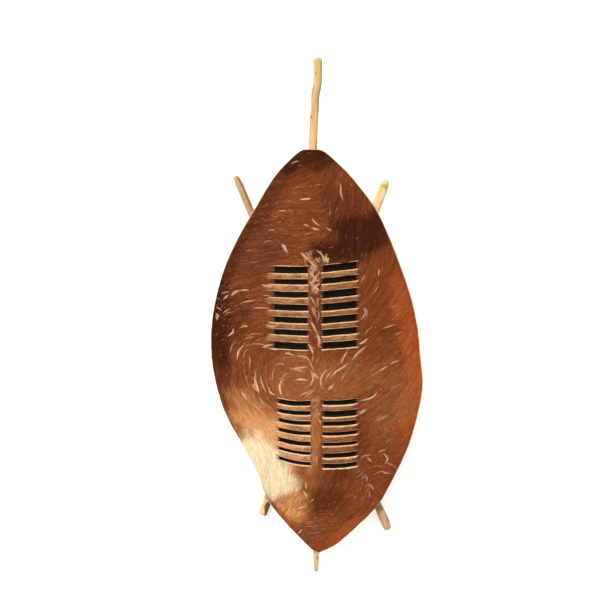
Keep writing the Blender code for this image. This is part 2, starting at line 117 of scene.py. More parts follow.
# Windows are the heights of the dark openings and bare the widths of the pale cut edges at the
# top and at the bottom of a rung, in millimetres; pale is how light each rung is.
COLUMNS = {
    "upper_left": dict(
        lace=(-0.0848, -0.0180), cut=(-0.0980, -0.0145), first=(0.1700, 0.1692),
        last=(0.0208, 0.0160), sag=0.0008, bare=(2.5, 2.3),
        windows=(13.8, 10.7, 11.6, 12.5, 11.9, 11.0, 14.0),
        pale=(0.95, 1.0, 0.95, 0.60, 0.55, 0.75),
    ),
    "upper_right": dict(
        lace=(0.0800, 0.0120), cut=(0.0860, 0.0085), first=(0.1800, 0.1708),
        last=(0.0230, 0.0172), sag=0.0004, bare=(2.5, 1.8),
        windows=(14.4, 12.1, 15.2, 14.5, 14.2, 13.2, 13.8),
        pale=(0.70, 0.55, 0.45, 0.50, 0.45, 0.60),
    ),
    "lower_left": dict(
        lace=(-0.0750, -0.0130), cut=(-0.0820, -0.0100), first=(-0.0936, -0.0984),
        last=(-0.2072, -0.2218), sag=0.0032, bare=(3.0, 1.9),
        windows=(9.6, 8.0, 7.4, 7.4, 8.6, 5.8, 6.6),
        pale=(0.80, 0.75, 0.85, 0.80, 0.90, 0.95),
    ),
    "lower_right": dict(
        lace=(0.0790, 0.0140), cut=(0.0850, 0.0100), first=(-0.0940, -0.0976),
        last=(-0.2200, -0.2244), sag=0.0022, bare=(3.4, 1.2),
        windows=(9.4, 12.2, 8.8, 7.1, 6.7, 9.4, 8.9),
        pale=(0.50, 0.35, 0.40, 0.30, 0.30, 0.35),
    ),
}

# Sticks
SIDES = 10
FOOT = 0.060
CENTRE_RADIUS = 0.0088
LEFT_RADIUS = 0.0075
RIGHT_RADIUS = 0.0095
CENTRE_TOP = 0.184
CENTRE_BOTTOM = 0.038
CENTRE_KINK = ((0.0112, 0.0), (0.0104, 0.052), (0.0055, 0.076), (0.0022, 0.136))
LEFT_ENDS = ((-0.3840, 0.4360), (0.3410, -0.4459))
RIGHT_ENDS = ((0.3325, 0.4285), (-0.2582, -0.4092))
STRAP_AT = (0.3722, -0.4094)
THONG_THICK = 0.0020
LASH_WIDTH = 0.012
STRAP_THICK = 0.0018
STRAP_WIDTH = 0.022
STRAP_WING = 0.024
WING_START = 0.004

FLAT = math.cos(math.pi / SIDES)
RIGHT_MID = THONG_THICK + 2 * FIT_GAP + RIGHT_RADIUS * FLAT
LEFT_MID = RIGHT_MID + (RIGHT_RADIUS + LEFT_RADIUS) * FLAT + FIT_GAP
CENTRE_MID = LEFT_MID + (LEFT_RADIUS + CENTRE_RADIUS) * FLAT + FIT_GAP
RIDGE_LOW = CENTRE_MID + CENTRE_RADIUS * FLAT + FIT_GAP + HIDE_THICK / 2
RIDGE_RISE = THONG_THICK + 2 * FIT_GAP
BULGE = (HIDE_THICK + LACE_THICK) / 2 + FIT_GAP

# Hair beside the cuts
CUT_MARGIN = 0.0012  # it stays at least this far from a cut
BARE_SHARE = 0.8  # and off this share of its bare edge

# Camera and light: the picture is 600 pixels wide and high, and a pixel is 2 mm of the hide
PIXEL = 0.002
PICTURE = 600
MIDDLE_PIXEL = (316.5, 351.0)  # the pixel over the middle of the hide
CAMERA_UP = 6.0
MEAN_FALL = 0.012  # how far the hide lies below its ridge on the whole
SENSOR = 36.0
DAYLIGHT = 0.60
LAMPS = (("key", 128, 47, 2.25, 22), ("rim", 330, 30, 0.35, 30))  # azimuth, elevation, power, width
FLOOR_HALF = 4.0
FLOOR_GLOW = 0.45


def smooth(t):
    """From 0 to 1 with level ends."""
    t = np.clip(t, 0.0, 1.0)
    return t * t * (3 - 2 * t)


def mix(a, b, t):
    """From a at 0 to b at 1."""
    return a + (b - a) * t


def colour(red, green, blue):
    """A linear colour from display values of 0 to 255."""
    shown = np.array([red, green, blue]) / 255
    return np.where(shown <= 0.04045, shown / 12.92, ((shown + 0.055) / 1.055) ** 2.4)


def soft_noise(x, y, size, seed):
    """Smooth random values from -1 to 1 that change over about that size."""
    table = np.random.default_rng(seed).uniform(-1, 1, (97, 89))
    u, v = np.asarray(x) / size, np.asarray(y) / size
    i, j = np.floor(u).astype(int), np.floor(v).astype(int)
    s, t = smooth(u - i), smooth(v - j)
    low = mix(table[i % 97, j % 89], table[(i + 1) % 97, j % 89], s)
    high = mix(table[i % 97, (j + 1) % 89], table[(i + 1) % 97, (j + 1) % 89], s)
    return mix(low, high, t)


def place(px, py):
    """The spot of the hide under a pixel of the picture."""
    return (px - MIDDLE_PIXEL[0]) * PIXEL, (MIDDLE_PIXEL[1] - py) * PIXEL


def spot_of(share):
    """The spot of the hide at shares of its width and length."""
    return share[0] * HIDE_WIDTH, share[1] * HIDE_LENGTH


def crossing(ends, others):
    """Where two sticks cross, from the shares of their ends."""
    (ax, ay), (bx, by) = map(spot_of, ends)
    (cx, cy), (dx, dy) = map(spot_of, others)
    turn = (bx - ax) * (dy - cy) - (by - ay) * (dx - cx)
    t = ((cx - ax) * (dy - cy) - (cy - ay) * (dx - cx)) / turn
    return mix(ax, bx, t), mix(ay, by, t)


CROSS_X, CROSS_Y = crossing(LEFT_ENDS, RIGHT_ENDS)
STRAPS = tuple(share * HIDE_LENGTH for share in STRAP_AT)


def ridge_x(y):
    """The line of the centre stick and of the hide's ridge over it."""
    return HIDE_WIDTH * mix(*RIDGE_ENDS, 0.5 - y / HIDE_LENGTH)


def hide_height(x, y):
    """Height of the middle of the hide's thickness, before any bulge."""
    off = x - ridge_x(y)
    near = np.maximum(0.0, 1 - ((y - CROSS_Y) / min(STRAPS[0], -STRAPS[1])) ** 2)
    fall = SIDE_FALL * (np.hypot(off, RIDGE_ROUND) - RIDGE_ROUND)
    out = (off / (HIDE_WIDTH / 2)) ** 2
    phase = np.where(off < 0, LEFT_PHASE, RIGHT_PHASE)
    wave = np.sin(WARP_WAVES * 2 * math.pi * y / HIDE_LENGTH + phase)
    return RIDGE_LOW + RIDGE_RISE * near ** 2 - fall + RIM_WARP * out * wave


def curve_through(points, step):
    """A smooth line through the points, with spots about a step apart."""
    laid = []
    for i in range(len(points) - 1):
        a = points[max(i - 1, 0)]
        b, c = points[i], points[i + 1]
        d = points[min(i + 2, len(points) - 1)]
        count = max(1, round(math.dist(b, c) / step))
        for k in range(count):
            t = k / count
            laid.append(tuple(
                0.5 * (2 * q + (r - p) * t + (2 * p - 5 * q + 4 * r - s) * t * t
                       + (3 * q - p - 3 * r + s) * t ** 3)
                for p, q, r, s in zip(a, b, c, d)
            ))
    return laid


def rim_sides(step):
    """The hide's left side from the upper tip down and its right side from the lower tip up."""
    def spot(down, across):
        return across * HIDE_WIDTH, (0.5 - down) * HIDE_LENGTH

    left = [spot(*p) for p in (UPPER_TIP, *LEFT_RIM, LOWER_TIP)]
    right = [spot(*p) for p in (LOWER_TIP, *reversed(RIGHT_RIM), UPPER_TIP)]
    return np.array(curve_through(left, step)), np.array(curve_through(right, step))


LEFT_SIDE, RIGHT_SIDE = rim_sides(RIM_STEP)
RIM = np.concatenate([LEFT_SIDE, RIGHT_SIDE])
SHIFT = Vector((
    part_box("lacing_upper_left")[0][0] - COLUMNS["upper_left"]["lace"][0],
    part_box("centre_stick")[1][1] - HIDE_LENGTH / 2 - CENTRE_TOP,
    0.0,
))


def rim_gap(x, y):
    """About how far inside the rim a spot is; below zero outside it."""
    top, bottom = RIM[:, 1].max(), RIM[:, 1].min()
    gaps = []
    for side, way in ((LEFT_SIDE[::-1], 1), (RIGHT_SIDE, -1)):
        edge = np.interp(y, side[:, 1], side[:, 0])
        lean = np.gradient(side[:, 0]) / np.maximum(np.abs(np.gradient(side[:, 1])), 1e-6)
        slope = np.interp(y, side[:, 1], lean)
        gaps.append(way * (x - edge) / np.sqrt(1 + slope ** 2))
    return np.minimum(np.minimum(*gaps), np.minimum(top - y, y - bottom))


def full_bulge(column):
    """The outer and inner end of a column's full bulge, and the way from the first to the second."""
    way = 1 if column["cut"][1] > column["cut"][0] else -1
    return column["lace"][0] - way * LACE_SIDE, column["lace"][1] + way * LACE_SIDE, way


def share_across(column, x):
    """How much of the full bulge the hide has across a column at x."""
    cut_out, cut_in = column["cut"]
    full_out, full_in, _ = full_bulge(column)
    rise = (x - cut_out) / (full_out - cut_out)
    fade = (cut_in - x) / (cut_in - full_in)
    return smooth(rise) * smooth(fade)


def cut_height(column, cut, x):
    """Height up the hide of one of a column's cuts at x; even cuts are a window's upper one."""
    out, inn = column["cut"]
    t = (x - out) / (inn - out)
    window, lower = divmod(cut, 2)
    part = window / (ROWS - 1)
    y = mix(mix(*column["first"], t), mix(*column["last"], t), part)
    y = y - column["sag"] * 4 * t * (1 - t) - lower * column["windows"][window] / 1000
    return y + CUT_WANDER * soft_noise(x, y * 0 + cut, 0.011, 5 + cut)


def bare_width(column, cut, x):
    """Width of the pale edge at a cut, uneven as cut by hand."""
    width = column["bare"][0 if cut % 2 else 1] / 1000
    width = width * mix(0.3, 1.0, share_across(column, x))
    return width * (1 + 0.35 * soft_noise(x, x * 0 + cut, 0.007, 40 + cut))


def bulge_at(x, y):
    """Rise or dip of the hide at the columns, and how near a cut's bare edge it is, 0 at the cut."""
    rise = np.zeros_like(x)
    near = np.full_like(x, 9.0)
    for column in COLUMNS.values():
        share = share_across(column, x)
        lines = [cut_height(column, cut, x) for cut in range(2 * ROWS)]
        level = np.where(y > lines[0], smooth(1 - (y - lines[0]) / LIP), 0.0)
        level = np.where(y < lines[-1], smooth(1 - (lines[-1] - y) / LIP), level)
        for cut in range(2 * ROWS - 1):
            inside = (y <= lines[cut]) & (y >= lines[cut + 1])
            if cut % 2:
                part = (lines[cut] - y) / (lines[cut] - lines[cut + 1])
                crown = 1 + RUNG_CROWN / BULGE * (1 - (2 * part - 1) ** 2)
                level = np.where(inside, crown, level)
            else:
                level = np.where(inside, -1.0, level)
        rise = rise + BULGE * share * level
        within = (x > min(column["cut"])) & (x < max(column["cut"]))
        for cut, line in enumerate(lines):
            away = np.abs(y - line) / bare_width(column, cut, x)
            near = np.where(within, np.minimum(near, away), near)
    return rise, near


def hair_side(x, y):
    """Height of the hide's hair side, bevels included."""
    rise, near = bulge_at(x, y)
    rim = smooth(1 - rim_gap(x, y) / RIM_BEVEL)
    cut = smooth(1 - near) * (rise > 0)
    return hide_height(x, y) + rise + HIDE_THICK / 2 - BEVEL_DROP * np.maximum(rim, cut)


def in_window(x, y, margin):
    """Whether a spot lies over a window, on most of a bare edge, or within the margin of a cut."""
    covered = np.zeros(x.shape, bool)
    for column in COLUMNS.values():
        across = (x > min(column["lace"]) - LACE_SIDE) & (x < max(column["lace"]) + LACE_SIDE)
        slit = (x > min(column["cut"])) & (x < max(column["cut"]))
        for window in range(ROWS):
            upper = cut_height(column, 2 * window, x)
            lower = cut_height(column, 2 * window + 1, x)
            above = np.maximum(margin, BARE_SHARE * bare_width(column, 2 * window, x))
            below = np.maximum(margin, BARE_SHARE * bare_width(column, 2 * window + 1, x))
            covered |= across & (y < upper + above) & (y > lower - below)
            covered |= slit & (np.abs(y - upper) < margin)
            covered |= slit & (np.abs(y - lower) < margin)
    return covered


# Lie of the hair at places of the picture: pixel and degrees from +X towards +Y
LIE_AT = (
    (311, 160, 190), (290, 175, 205), (330, 172, 236), (345, 190, 264), (368, 215, 262),
    (350, 245, 268), (378, 250, 256), (300, 205, 182), (270, 215, 185), (285, 240, 184),
    (255, 235, 190), (240, 270, 198), (234, 293, 205), (221, 302, 217), (217, 320, 236),
    (245, 303, 188), (262, 320, 186), (250, 330, 202), (230, 337, 225), (218, 345, 256),
    (241, 349, 236), (238, 358, 262), (250, 365, 268), (216, 372, 268), (228, 395, 284),
    (245, 395, 300), (256, 380, 278), (266, 385, 284), (255, 410, 305), (266, 402, 318),
    (262, 430, 305), (250, 445, 290), (272, 470, 284), (262, 480, 276), (290, 484, 250),
    (285, 355, 352), (300, 358, 180), (278, 366, 215), (274, 378, 258), (280, 388, 280),
    (290, 393, 335), (300, 379, 180), (310, 392, 12), (318, 384, 60), (315, 371, 85),
    (312, 425, 268), (312, 330, 286), (312, 290, 280), (326, 372, 238), (345, 362, 228),
    (362, 350, 220), (386, 367, 210), (366, 398, 205), (340, 388, 218), (375, 300, 238),
    (395, 328, 210), (385, 275, 244), (412, 340, 256), (416, 390, 252), (390, 420, 222),
    (395, 450, 228), (380, 470, 205), (370, 490, 255), (350, 490, 226), (330, 480, 250),
    (300, 500, 250), (340, 515, 216), (318, 524, 188), (329, 522, 168), (345, 532, 224),
    (303, 530, 218), (316, 546, 246), (290, 515, 232), (290, 300, 181), (340, 300, 188),
    (290, 430, 176), (340, 430, 186), (290, 262, 182), (335, 262, 186), (405, 360, 236),
    (360, 425, 214), (376, 385, 212),
)
LIE_SOFT = 0.014
GRID_STEP = 0.001
GRID_LOW = (-0.224, -0.416)
GRID_SIZE = (448, 832)

# Coat: named colours and the patches that take them, from the base up
DARK = colour(64, 20, 6)
UMBER = colour(84, 35, 15)
CHESTNUT = colour(112, 54, 30)
BROWN = colour(135, 67, 35)
RUSSET = colour(131, 59, 26)
ORANGE = colour(176, 82, 36)
GOLD = colour(172, 102, 56)
TAN = colour(194, 122, 72)
SAND = colour(228, 163, 106)
HONEY = colour(210, 132, 72)
CREAM = colour(255, 229, 184)
PALE = colour(240, 190, 138)
BLOND = colour(255, 214, 162)
BLACK = colour(17, 8, 4)
CUT_EDGE = colour(238, 198, 152)

# Light dapples below the cream patch, in pixels: their half sizes and their middles
DAPPLE = (2.6, 3.6)
DAPPLES = (
    (281, 501), (286, 503), (292, 497), (296, 506), (302, 509), (307, 500), (301, 494),
    (291, 509), (308, 491),
)

# Each patch: colour, middle in pixels, half sizes in pixels, tilt in degrees, softness, strength
PATCHES = (
    (GOLD, (300, 375), (40, 26), 0, 0.9, 0.55),
    (GOLD, (345, 378), (36, 20), 20, 0.9, 0.45),
    (CHESTNUT, (262, 250), (34, 26), 30, 0.8, 0.75),
    (CHESTNUT, (315, 306), (5, 44), 0, 0.8, 0.95),
    (RUSSET, (388, 300), (34, 60), -12, 0.7, 0.7),
    # The orange along the right rim is partly hair colour and partly painted sheen.
    (ORANGE, (410, 330), (10, 62), 12, 0.8, 0.9),
    (ORANGE, (416, 395), (12, 50), -12, 0.8, 0.8),
    (GOLD, (392, 396), (28, 40), -10, 0.9, 0.4),
    (UMBER, (262, 209), (52, 15), 55, 0.9, 0.75),
    (UMBER, (310, 158), (36, 14), 10, 0.8, 1.0),
    (DARK, (316, 152), (28, 10), 0, 0.8, 0.9),
    (DARK, (295, 165), (12, 6), 50, 0.9, 0.9),
    # The dark patches at the upper right are partly darker hair and partly painted shade where the
    # hair lies away from the light.
    (UMBER, (350, 208), (22, 34), 32, 0.9, 0.55),
    (DARK, (362, 229), (29, 21), -12, 0.8, 1.0),
    (DARK, (340, 250), (28, 14), 8, 0.8, 0.95),
    (DARK, (382, 222), (8, 20), 20, 0.8, 0.8),
    (RUSSET, (388, 258), (10, 14), 24, 0.5, 0.9),
    # The dark patches on the left flank are partly darker hair and partly painted shade where the
    # hair lies away from the light.
    (DARK, (222, 322), (13, 52), -2, 0.7, 1.0),
    (UMBER, (240, 315), (16, 26), 0, 0.9, 0.65),
    (DARK, (234, 268), (6, 40), -24, 0.9, 0.6),
    (BROWN, (266, 350), (30, 18), 0, 0.9, 0.5),
    (RUSSET, (224, 388), (12, 24), 18, 0.8, 0.8),
    (UMBER, (221, 372), (9, 28), 14, 0.8, 0.65),
    (TAN, (252, 410), (32, 16), -42, 0.9, 0.8),
    (SAND, (259, 431), (32, 16), -40, 0.9, 0.75),
    (TAN, (288, 440), (24, 34), 0, 0.9, 0.6),
    (SAND, (275, 444), (24, 31), 20, 0.7, 1.0),
    # The cream patch is partly pale hair and partly painted highlight where the hair catches the
    # light.
    (CREAM, (265, 464), (40, 19), -52, 0.6, 1.0),
    (CREAM, (288, 482), (17, 12), 20, 0.45, 1.0),
    (CREAM, (250, 454), (18, 7), -60, 0.8, 0.6),
    (GOLD, (296, 507), (22, 11), -38, 0.6, 0.85),
    (HONEY, (299, 502), (15, 16), -20, 0.8, 0.95),
    (GOLD, (312, 476), (16, 14), -20, 0.9, 0.6),
    *((SAND, spot, DAPPLE, -30, 0.8, 0.75) for spot in DAPPLES),
    (HONEY, (314, 434), (7, 32), 0, 0.9, 0.55),
    (UMBER, (328, 496), (24, 18), 15, 0.9, 0.7),
    (DARK, (338, 472), (24, 6), 0, 0.9, 0.4),
    (UMBER, (366, 430), (8, 30), 0, 0.9, 0.3),
    (BROWN, (324, 532), (24, 14), 20, 0.8, 0.7),
    (ORANGE, (345, 530), (26, 5), 42, 0.8, 0.7),
    (ORANGE, (285, 515), (14, 4), -46, 0.8, 0.6),
)
RAGGED = 0.20  # how far noise moves a patch's edge
# Light streaks are partly paler hair and partly painted sheen where the hair catches the light.
LIGHT_STREAK = 0.55  # how strongly light streaks show on brown
DARK_STREAKS = 0.22  # the share of that on the darkest hair
SHADE_STREAK = 0.38  # how strongly dark streaks show

# Layers of the coat from the skin up: spacing, length and width of the locks
LAYERS = (
    (0.0033, 0.014, 0.0021), (0.0033, 0.016, 0.0018), (0.0031, 0.017, 0.0014),
    (0.0031, 0.018, 0.0011), (0.0031, 0.018, 0.0008),
)
LAYER_LIFT = 0.0008  # how high the lowest layer's locks rise
LIFT_STEP = 0.00012  # and how much higher each next layer's do
SHORTEST_LOCK = 0.0015
STRAY = 0.09  # how far a lock strays from the lie, in radians
LIE_SWAYS = ((0.32, 0.024, 71), (0.2, 0.009, 72))  # noise in the lie: amount, size and seed


def grid_spots():
    """The spots of the grids of lie and streaks."""
    x = GRID_LOW[0] + GRID_STEP * np.arange(GRID_SIZE[0])
    y = GRID_LOW[1] + GRID_STEP * np.arange(GRID_SIZE[1])
    return np.meshgrid(x, y)


def lie_grid():
    """The lie of the hair over the whole hide, as the cosine and sine of the doubled angle."""
    x, y = grid_spots()
    cosine, sine = np.zeros_like(x), np.zeros_like(x)
    for px, py, degrees in LIE_AT:
        cx, cy = place(px, py)
        weight = 1 / ((x - cx) ** 2 + (y - cy) ** 2 + LIE_SOFT ** 2) ** 2
        cosine += weight * math.cos(2 * math.radians(degrees))
        sine += weight * math.sin(2 * math.radians(degrees))
    turn = np.arctan2(sine, cosine)
    for amount, size, seed in LIE_SWAYS:
        turn = turn + amount * soft_noise(x, y, size, seed)
    return np.cos(turn), np.sin(turn)


def looked_up(grid, x, y):
    """Values of a grid at spots of the hide."""
    u = np.clip((x - GRID_LOW[0]) / GRID_STEP, 0, GRID_SIZE[0] - 1.001)
    v = np.clip((y - GRID_LOW[1]) / GRID_STEP, 0, GRID_SIZE[1] - 1.001)
    i, j = u.astype(int), v.astype(int)
    s, t = u - i, v - j
    low = mix(grid[j, i], grid[j, i + 1], s)
    high = mix(grid[j + 1, i], grid[j + 1, i + 1], s)
    return mix(low, high, t)


LIE = lie_grid()


def lie_at(x, y, before=None):
    """Unit direction of the hair; it keeps to the way it came, or else runs down and outward."""
    turn = np.arctan2(looked_up(LIE[1], x, y), looked_up(LIE[0], x, y)) / 2
    dx, dy = np.cos(turn), np.sin(turn)
    wanted = (x * 4, y * 0 - 1.0) if before is None else before
    way = np.where(dx * wanted[0] + dy * wanted[1] < 0, -1.0, 1.0)
    return dx * way, dy * way


def combed(seed, cell, reach):
    """Random streaks that run along the lie of the hair, as a grid of about -1 to 1."""
    x, y = grid_spots()
    total = soft_noise(x, y, cell, seed)
    steps = round(reach / (1.5 * cell))
    for way in (1, -1):
        at_x, at_y = x, y
        dx, dy = lie_at(x, y)
        dx, dy = dx * way, dy * way
        for _ in range(steps):
            at_x, at_y = at_x + dx * cell * 1.5, at_y + dy * cell * 1.5
            total = total + soft_noise(at_x, at_y, cell, seed)
            dx, dy = lie_at(at_x, at_y, (dx, dy))
    return total / total.std() / 2


STREAKS = combed(21, 0.0024, 0.030)
FINE_STREAKS = combed(22, 0.0011, 0.014)


def patch_weight(x, y, middle, size, tilt, soft):
    """How strongly a patch colours a spot, with a ragged edge."""
    cx, cy = place(*middle)
    turn = math.radians(tilt)
    dx, dy = x - cx, y - cy
    u = (dx * math.cos(turn) + dy * math.sin(turn)) / (size[0] * PIXEL)
    v = (-dx * math.sin(turn) + dy * math.cos(turn)) / (size[1] * PIXEL)
    noise = soft_noise(x, y, 0.020, 11) * 0.6 + soft_noise(x, y, 0.008, 12) * 0.4
    away = np.hypot(u, v) + RAGGED * noise
    return smooth((1 + soft * 0.5 - away) / soft)


def rung_part(x, y):
    """How much a spot is on a rung, and how far down the rung it lies from 0 to 1."""
    amount, part = np.zeros_like(x), np.zeros_like(x)
    for column in COLUMNS.values():
        share = share_across(column, x)
        for window in range(ROWS - 1):
            upper = cut_height(column, 2 * window + 1, x)
            under = cut_height(column, 2 * window + 2, x)
            inside = (y < upper) & (y > under) & (share > 0)
            amount = np.where(inside, share ** 3 * column["pale"][window], amount)
            part = np.where(inside, (upper - y) / (upper - under), part)
    return amount, part


def coat(x, y, luck):
    """Colour of the coat at a spot; luck from 0 to 1 makes each lock its own."""
    shade = np.tile(mix(BROWN, RUSSET, 0.4), (len(x), 1))
    for paint, middle, size, tilt, soft, strength in PATCHES:
        weight = patch_weight(x, y, middle, size, tilt, soft) * strength
        chosen = smooth((weight - luck) / 0.5 + 0.5) * (weight > 0.02)
        shade = mix(shade, paint, mix(weight, chosen, 0.35)[:, None])
    amount, part = rung_part(x, y)
    worn = 0.75 + 0.5 * soft_noise(x, y, 0.007, 91)
    # A rung keeps its pale tone at its top and falls to 0.55 of it by 70% of the way down: painted
    # light on its upper edge and painted shade below.
    bright = np.clip(amount * worn * mix(1.0, 0.55, smooth(part / 0.7)), 0, 1)
    shade = mix(shade, mix(PALE, TAN, 0.45), bright[:, None])
    # Light streaks: paler hair and painted sheen; dark streaks: darker hair.
    streak = 0.62 * looked_up(STREAKS, x, y) + 0.5 * looked_up(FINE_STREAKS, x, y)
    light = np.clip(streak, 0, 1.5)[:, None]
    plain = np.clip(shade.sum(axis=1) / BROWN.sum(), DARK_STREAKS, 1)[:, None]
    shade = mix(shade, shade * 0.6 + TAN * 0.4, LIGHT_STREAK * light * plain)
    return shade * (1 + SHADE_STREAK * np.clip(streak, -1.6, 0))[:, None]


def fresh_mesh(name, points, loops, starts, slots=None):
    """A mesh from points, the corners of its faces in order and where each face starts."""
    mesh = bpy.data.meshes.new(name)
    mesh.vertices.add(len(points))
    mesh.vertices.foreach_set("co", np.asarray(points, np.float32).ravel())
    mesh.loops.add(len(loops))
    mesh.loops.foreach_set("vertex_index", np.asarray(loops, np.int32))
    mesh.polygons.add(len(starts))
    mesh.polygons.foreach_set("loop_start", np.asarray(starts, np.int32))
    if slots is not None:
        mesh.polygons.foreach_set("material_index", np.asarray(slots, np.int32))
    mesh.update(calc_edges=True)
    mesh.validate()
    return mesh


def piece(name, points, faces, materials, slots=None, attributes=()):
    """A piece of the object from places on the hide; attributes are per-point values."""
    points = np.asarray(points, float) + np.array(SHIFT)
    loops = [i for face in faces for i in face] if isinstance(faces, list) else faces.ravel()
    if isinstance(faces, list):
        sizes = np.array([len(face) for face in faces])
    else:
        sizes = np.full(len(faces), faces.shape[1])
    starts = np.concatenate([[0], np.cumsum(sizes)[:-1]])
    mesh = fresh_mesh(name, points, loops, starts, slots)
    return finish_piece(name, mesh, materials, attributes)


def finish_piece(name, mesh, materials, attributes):
    """Gives a mesh its materials and per-point values, and makes it an object."""
    for material in materials:
        mesh.materials.append(material)
    mesh.polygons.foreach_set("use_smooth", [True] * len(mesh.polygons))
    for label, values in attributes:
        values = np.asarray(values, np.float32)
        if values.ndim == 2 and values.shape[1] == 4:
            layer = mesh.attributes.new(label, "FLOAT_COLOR", "POINT")
            layer.data.foreach_set("color", values.ravel())
        elif values.ndim == 2:
            layer = mesh.attributes.new(label, "FLOAT_VECTOR", "POINT")
            layer.data.foreach_set("vector", values.ravel())
        else:
            layer = mesh.attributes.new(label, "FLOAT", "POINT")
            layer.data.foreach_set("value", values)
    made = bpy.data.objects.new(name, mesh)
    bpy.context.scene.collection.objects.link(made)
    return made


def with_alpha(shades):
    """Colours with a fourth value of 1."""
    return np.concatenate([shades, np.ones((len(shades), 1))], axis=1)


class Nodes:
    """A short way to write a material's node tree."""

    def __init__(self, name):
        self.material = bpy.data.materials.new(name)
        self.material.use_nodes = True
        self.tree = self.material.node_tree
        self.shader = self.tree.nodes["Principled BSDF"]

    def add(self, kind, inputs=(), **settings):
        node = self.tree.nodes.new(kind)
        for key, value in settings.items():
            setattr(node, key, value)
        for key, value in dict(inputs).items():
            self.put(node.inputs[key], value)
        return node

    def put(self, socket, value):
        if isinstance(value, bpy.types.NodeSocket):
            self.tree.links.new(value, socket)
        elif hasattr(value, "__len__") and socket.type == "RGBA":
            socket.default_value = (*value, 1.0)
        else:
            socket.default_value = value

    def set(self, **values):
        for key, value in values.items():
            self.put(self.shader.inputs[key.replace("_", " ")], value)

    def attribute(self, label, output):
        node = self.add("ShaderNodeAttribute", attribute_name=label)
        return node.outputs[output]

    def noise(self, vector, scale, detail=3.0, rough=0.55):
        inputs = {"Vector": vector, "Scale": scale, "Detail": detail, "Roughness": rough}
        return self.add("ShaderNodeTexNoise", inputs).outputs["Fac"]

    def ramp(self, factor, stops):
        node = self.add("ShaderNodeValToRGB", {"Fac": factor})
        ramp = node.color_ramp
        while len(ramp.elements) < len(stops):
            ramp.elements.new(0.5)
        for element, (where, paint) in zip(ramp.elements, stops):
            element.position = where
            element.color = (*paint, 1.0)
        return node.outputs["Color"]

    def blend(self, factor, a, b, way="MIX"):
        node = self.add("ShaderNodeMix", data_type="RGBA", blend_type=way)
        self.put(node.inputs[0], factor)
        self.put(node.inputs[6], a)
        self.put(node.inputs[7], b)
        return node.outputs[2]

    def sum(self, operation, a, b):
        node = self.add("ShaderNodeMath", operation=operation)
        self.put(node.inputs[0], a)
        self.put(node.inputs[1], b)
        return node.outputs[0]

    def spread(self, value, low, high, to_low=0.0, to_high=1.0):
        inputs = {
            "Value": value, "From Min": low, "From Max": high, "To Min": to_low, "To Max": to_high,
        }
        return self.add("ShaderNodeMapRange", inputs).outputs["Result"]

    def bump(self, height, strength, distance):
        inputs = {"Height": height, "Strength": strength, "Distance": distance}
        return self.add("ShaderNodeBump", inputs).outputs["Normal"]

    def stretched(self, vector, scales):
        inputs = {"Vector": vector, "Scale": scales}
        return self.add("ShaderNodeMapping", inputs).outputs["Vector"]

    def spots(self):
        return self.add("ShaderNodeTexCoord").outputs["Object"]


def hair_material(name, rough, gloss):
    """Short glossy hair: the lock's own colour, streaked along its length, with a warm sheen."""
    nodes = Nodes(name)
    tint = nodes.attribute("tint", "Color")
    streak = nodes.noise(nodes.attribute("lock", "Vector"), 1.0, 2.0)
    dim = nodes.spread(streak, 0.3, 0.7, 0.86, 1.12)
    nodes.set(Base_Color=nodes.blend(1.0, tint, dim, "MULTIPLY"), Roughness=rough)
    nodes.set(Specular_IOR_Level=gloss, Specular_Tint=(1.0, 0.62, 0.34))
    return nodes.material


def skin_material():
    """The hair side under the locks, with pale leather where it is cut."""
    nodes = Nodes("coat_ground")
    spots = nodes.spots()
    tint = nodes.attribute("tint", "Color")
    edge = nodes.attribute("edge", "Fac")
    fine = nodes.noise(nodes.stretched(spots, (420, 900, 420)), 1.0, 3.0)
    dark = nodes.blend(1.0, tint, nodes.spread(fine, 0.25, 0.75, 0.55, 1.0), "MULTIPLY")
    ragged = nodes.sum("ADD", edge, nodes.spread(nodes.noise(spots, 330, 2.0), 0, 1, -0.35, 0.35))
    bare = nodes.spread(ragged, 0.8, 1.05, 1.0, 0.0)
    leather = nodes.ramp(nodes.noise(spots, 260, 3.0), (
        (0.3, colour(222, 178, 132)), (0.7, CUT_EDGE),
    ))
    nodes.set(Base_Color=nodes.blend(bare, dark, leather), Roughness=0.6)
    nodes.set(Specular_IOR_Level=0.25)
    nodes.set(Normal=nodes.bump(fine, 0.5, 0.0006))
    return nodes.material


def edge_material():
    """The cut edge of the dried hide: pale, with darker fibre lines along it."""
    nodes = Nodes("cut_edge")
    spots = nodes.spots()
    fibre = nodes.noise(nodes.stretched(spots, (150, 150, 1500)), 1.0, 3.0)
    paint = nodes.ramp(fibre, ((0.3, colour(196, 146, 98)), (0.65, CUT_EDGE)))
    nodes.set(Base_Color=paint, Roughness=0.75, Normal=nodes.bump(fibre, 0.4, 0.0004))
    return nodes.material


def flesh_material(name="flesh_side", pale=(214, 186, 142), deep=(168, 128, 84)):
    """The scraped inner side of a dried hide: blotchy, with fine wrinkles and vein marks."""
    nodes = Nodes(name)
    spots = nodes.spots()
    blotch = nodes.noise(spots, 14, 5.0, 0.6)
    wrinkle = nodes.noise(nodes.stretched(spots, (140, 60, 60)), 1.0, 5.0, 0.65)
    veins = nodes.add("ShaderNodeTexVoronoi", {"Vector": spots, "Scale": 26.0},
                      feature="DISTANCE_TO_EDGE").outputs["Distance"]
    paint = nodes.ramp(blotch, ((0.32, colour(*deep)), (0.62, colour(*pale))))
    grain = nodes.spread(wrinkle, 0.3, 0.7, 0.86, 1.08)
    paint = nodes.blend(1.0, paint, grain, "MULTIPLY")
    line = nodes.spread(veins, 0.0, 0.05, 0.82, 1.0)
    paint = nodes.blend(1.0, paint, line, "MULTIPLY")
    nodes.set(Base_Color=paint, Roughness=nodes.spread(wrinkle, 0.3, 0.7, 0.55, 0.75))
    nodes.set(Normal=nodes.bump(wrinkle, 0.6, 0.0010))
    return nodes.material


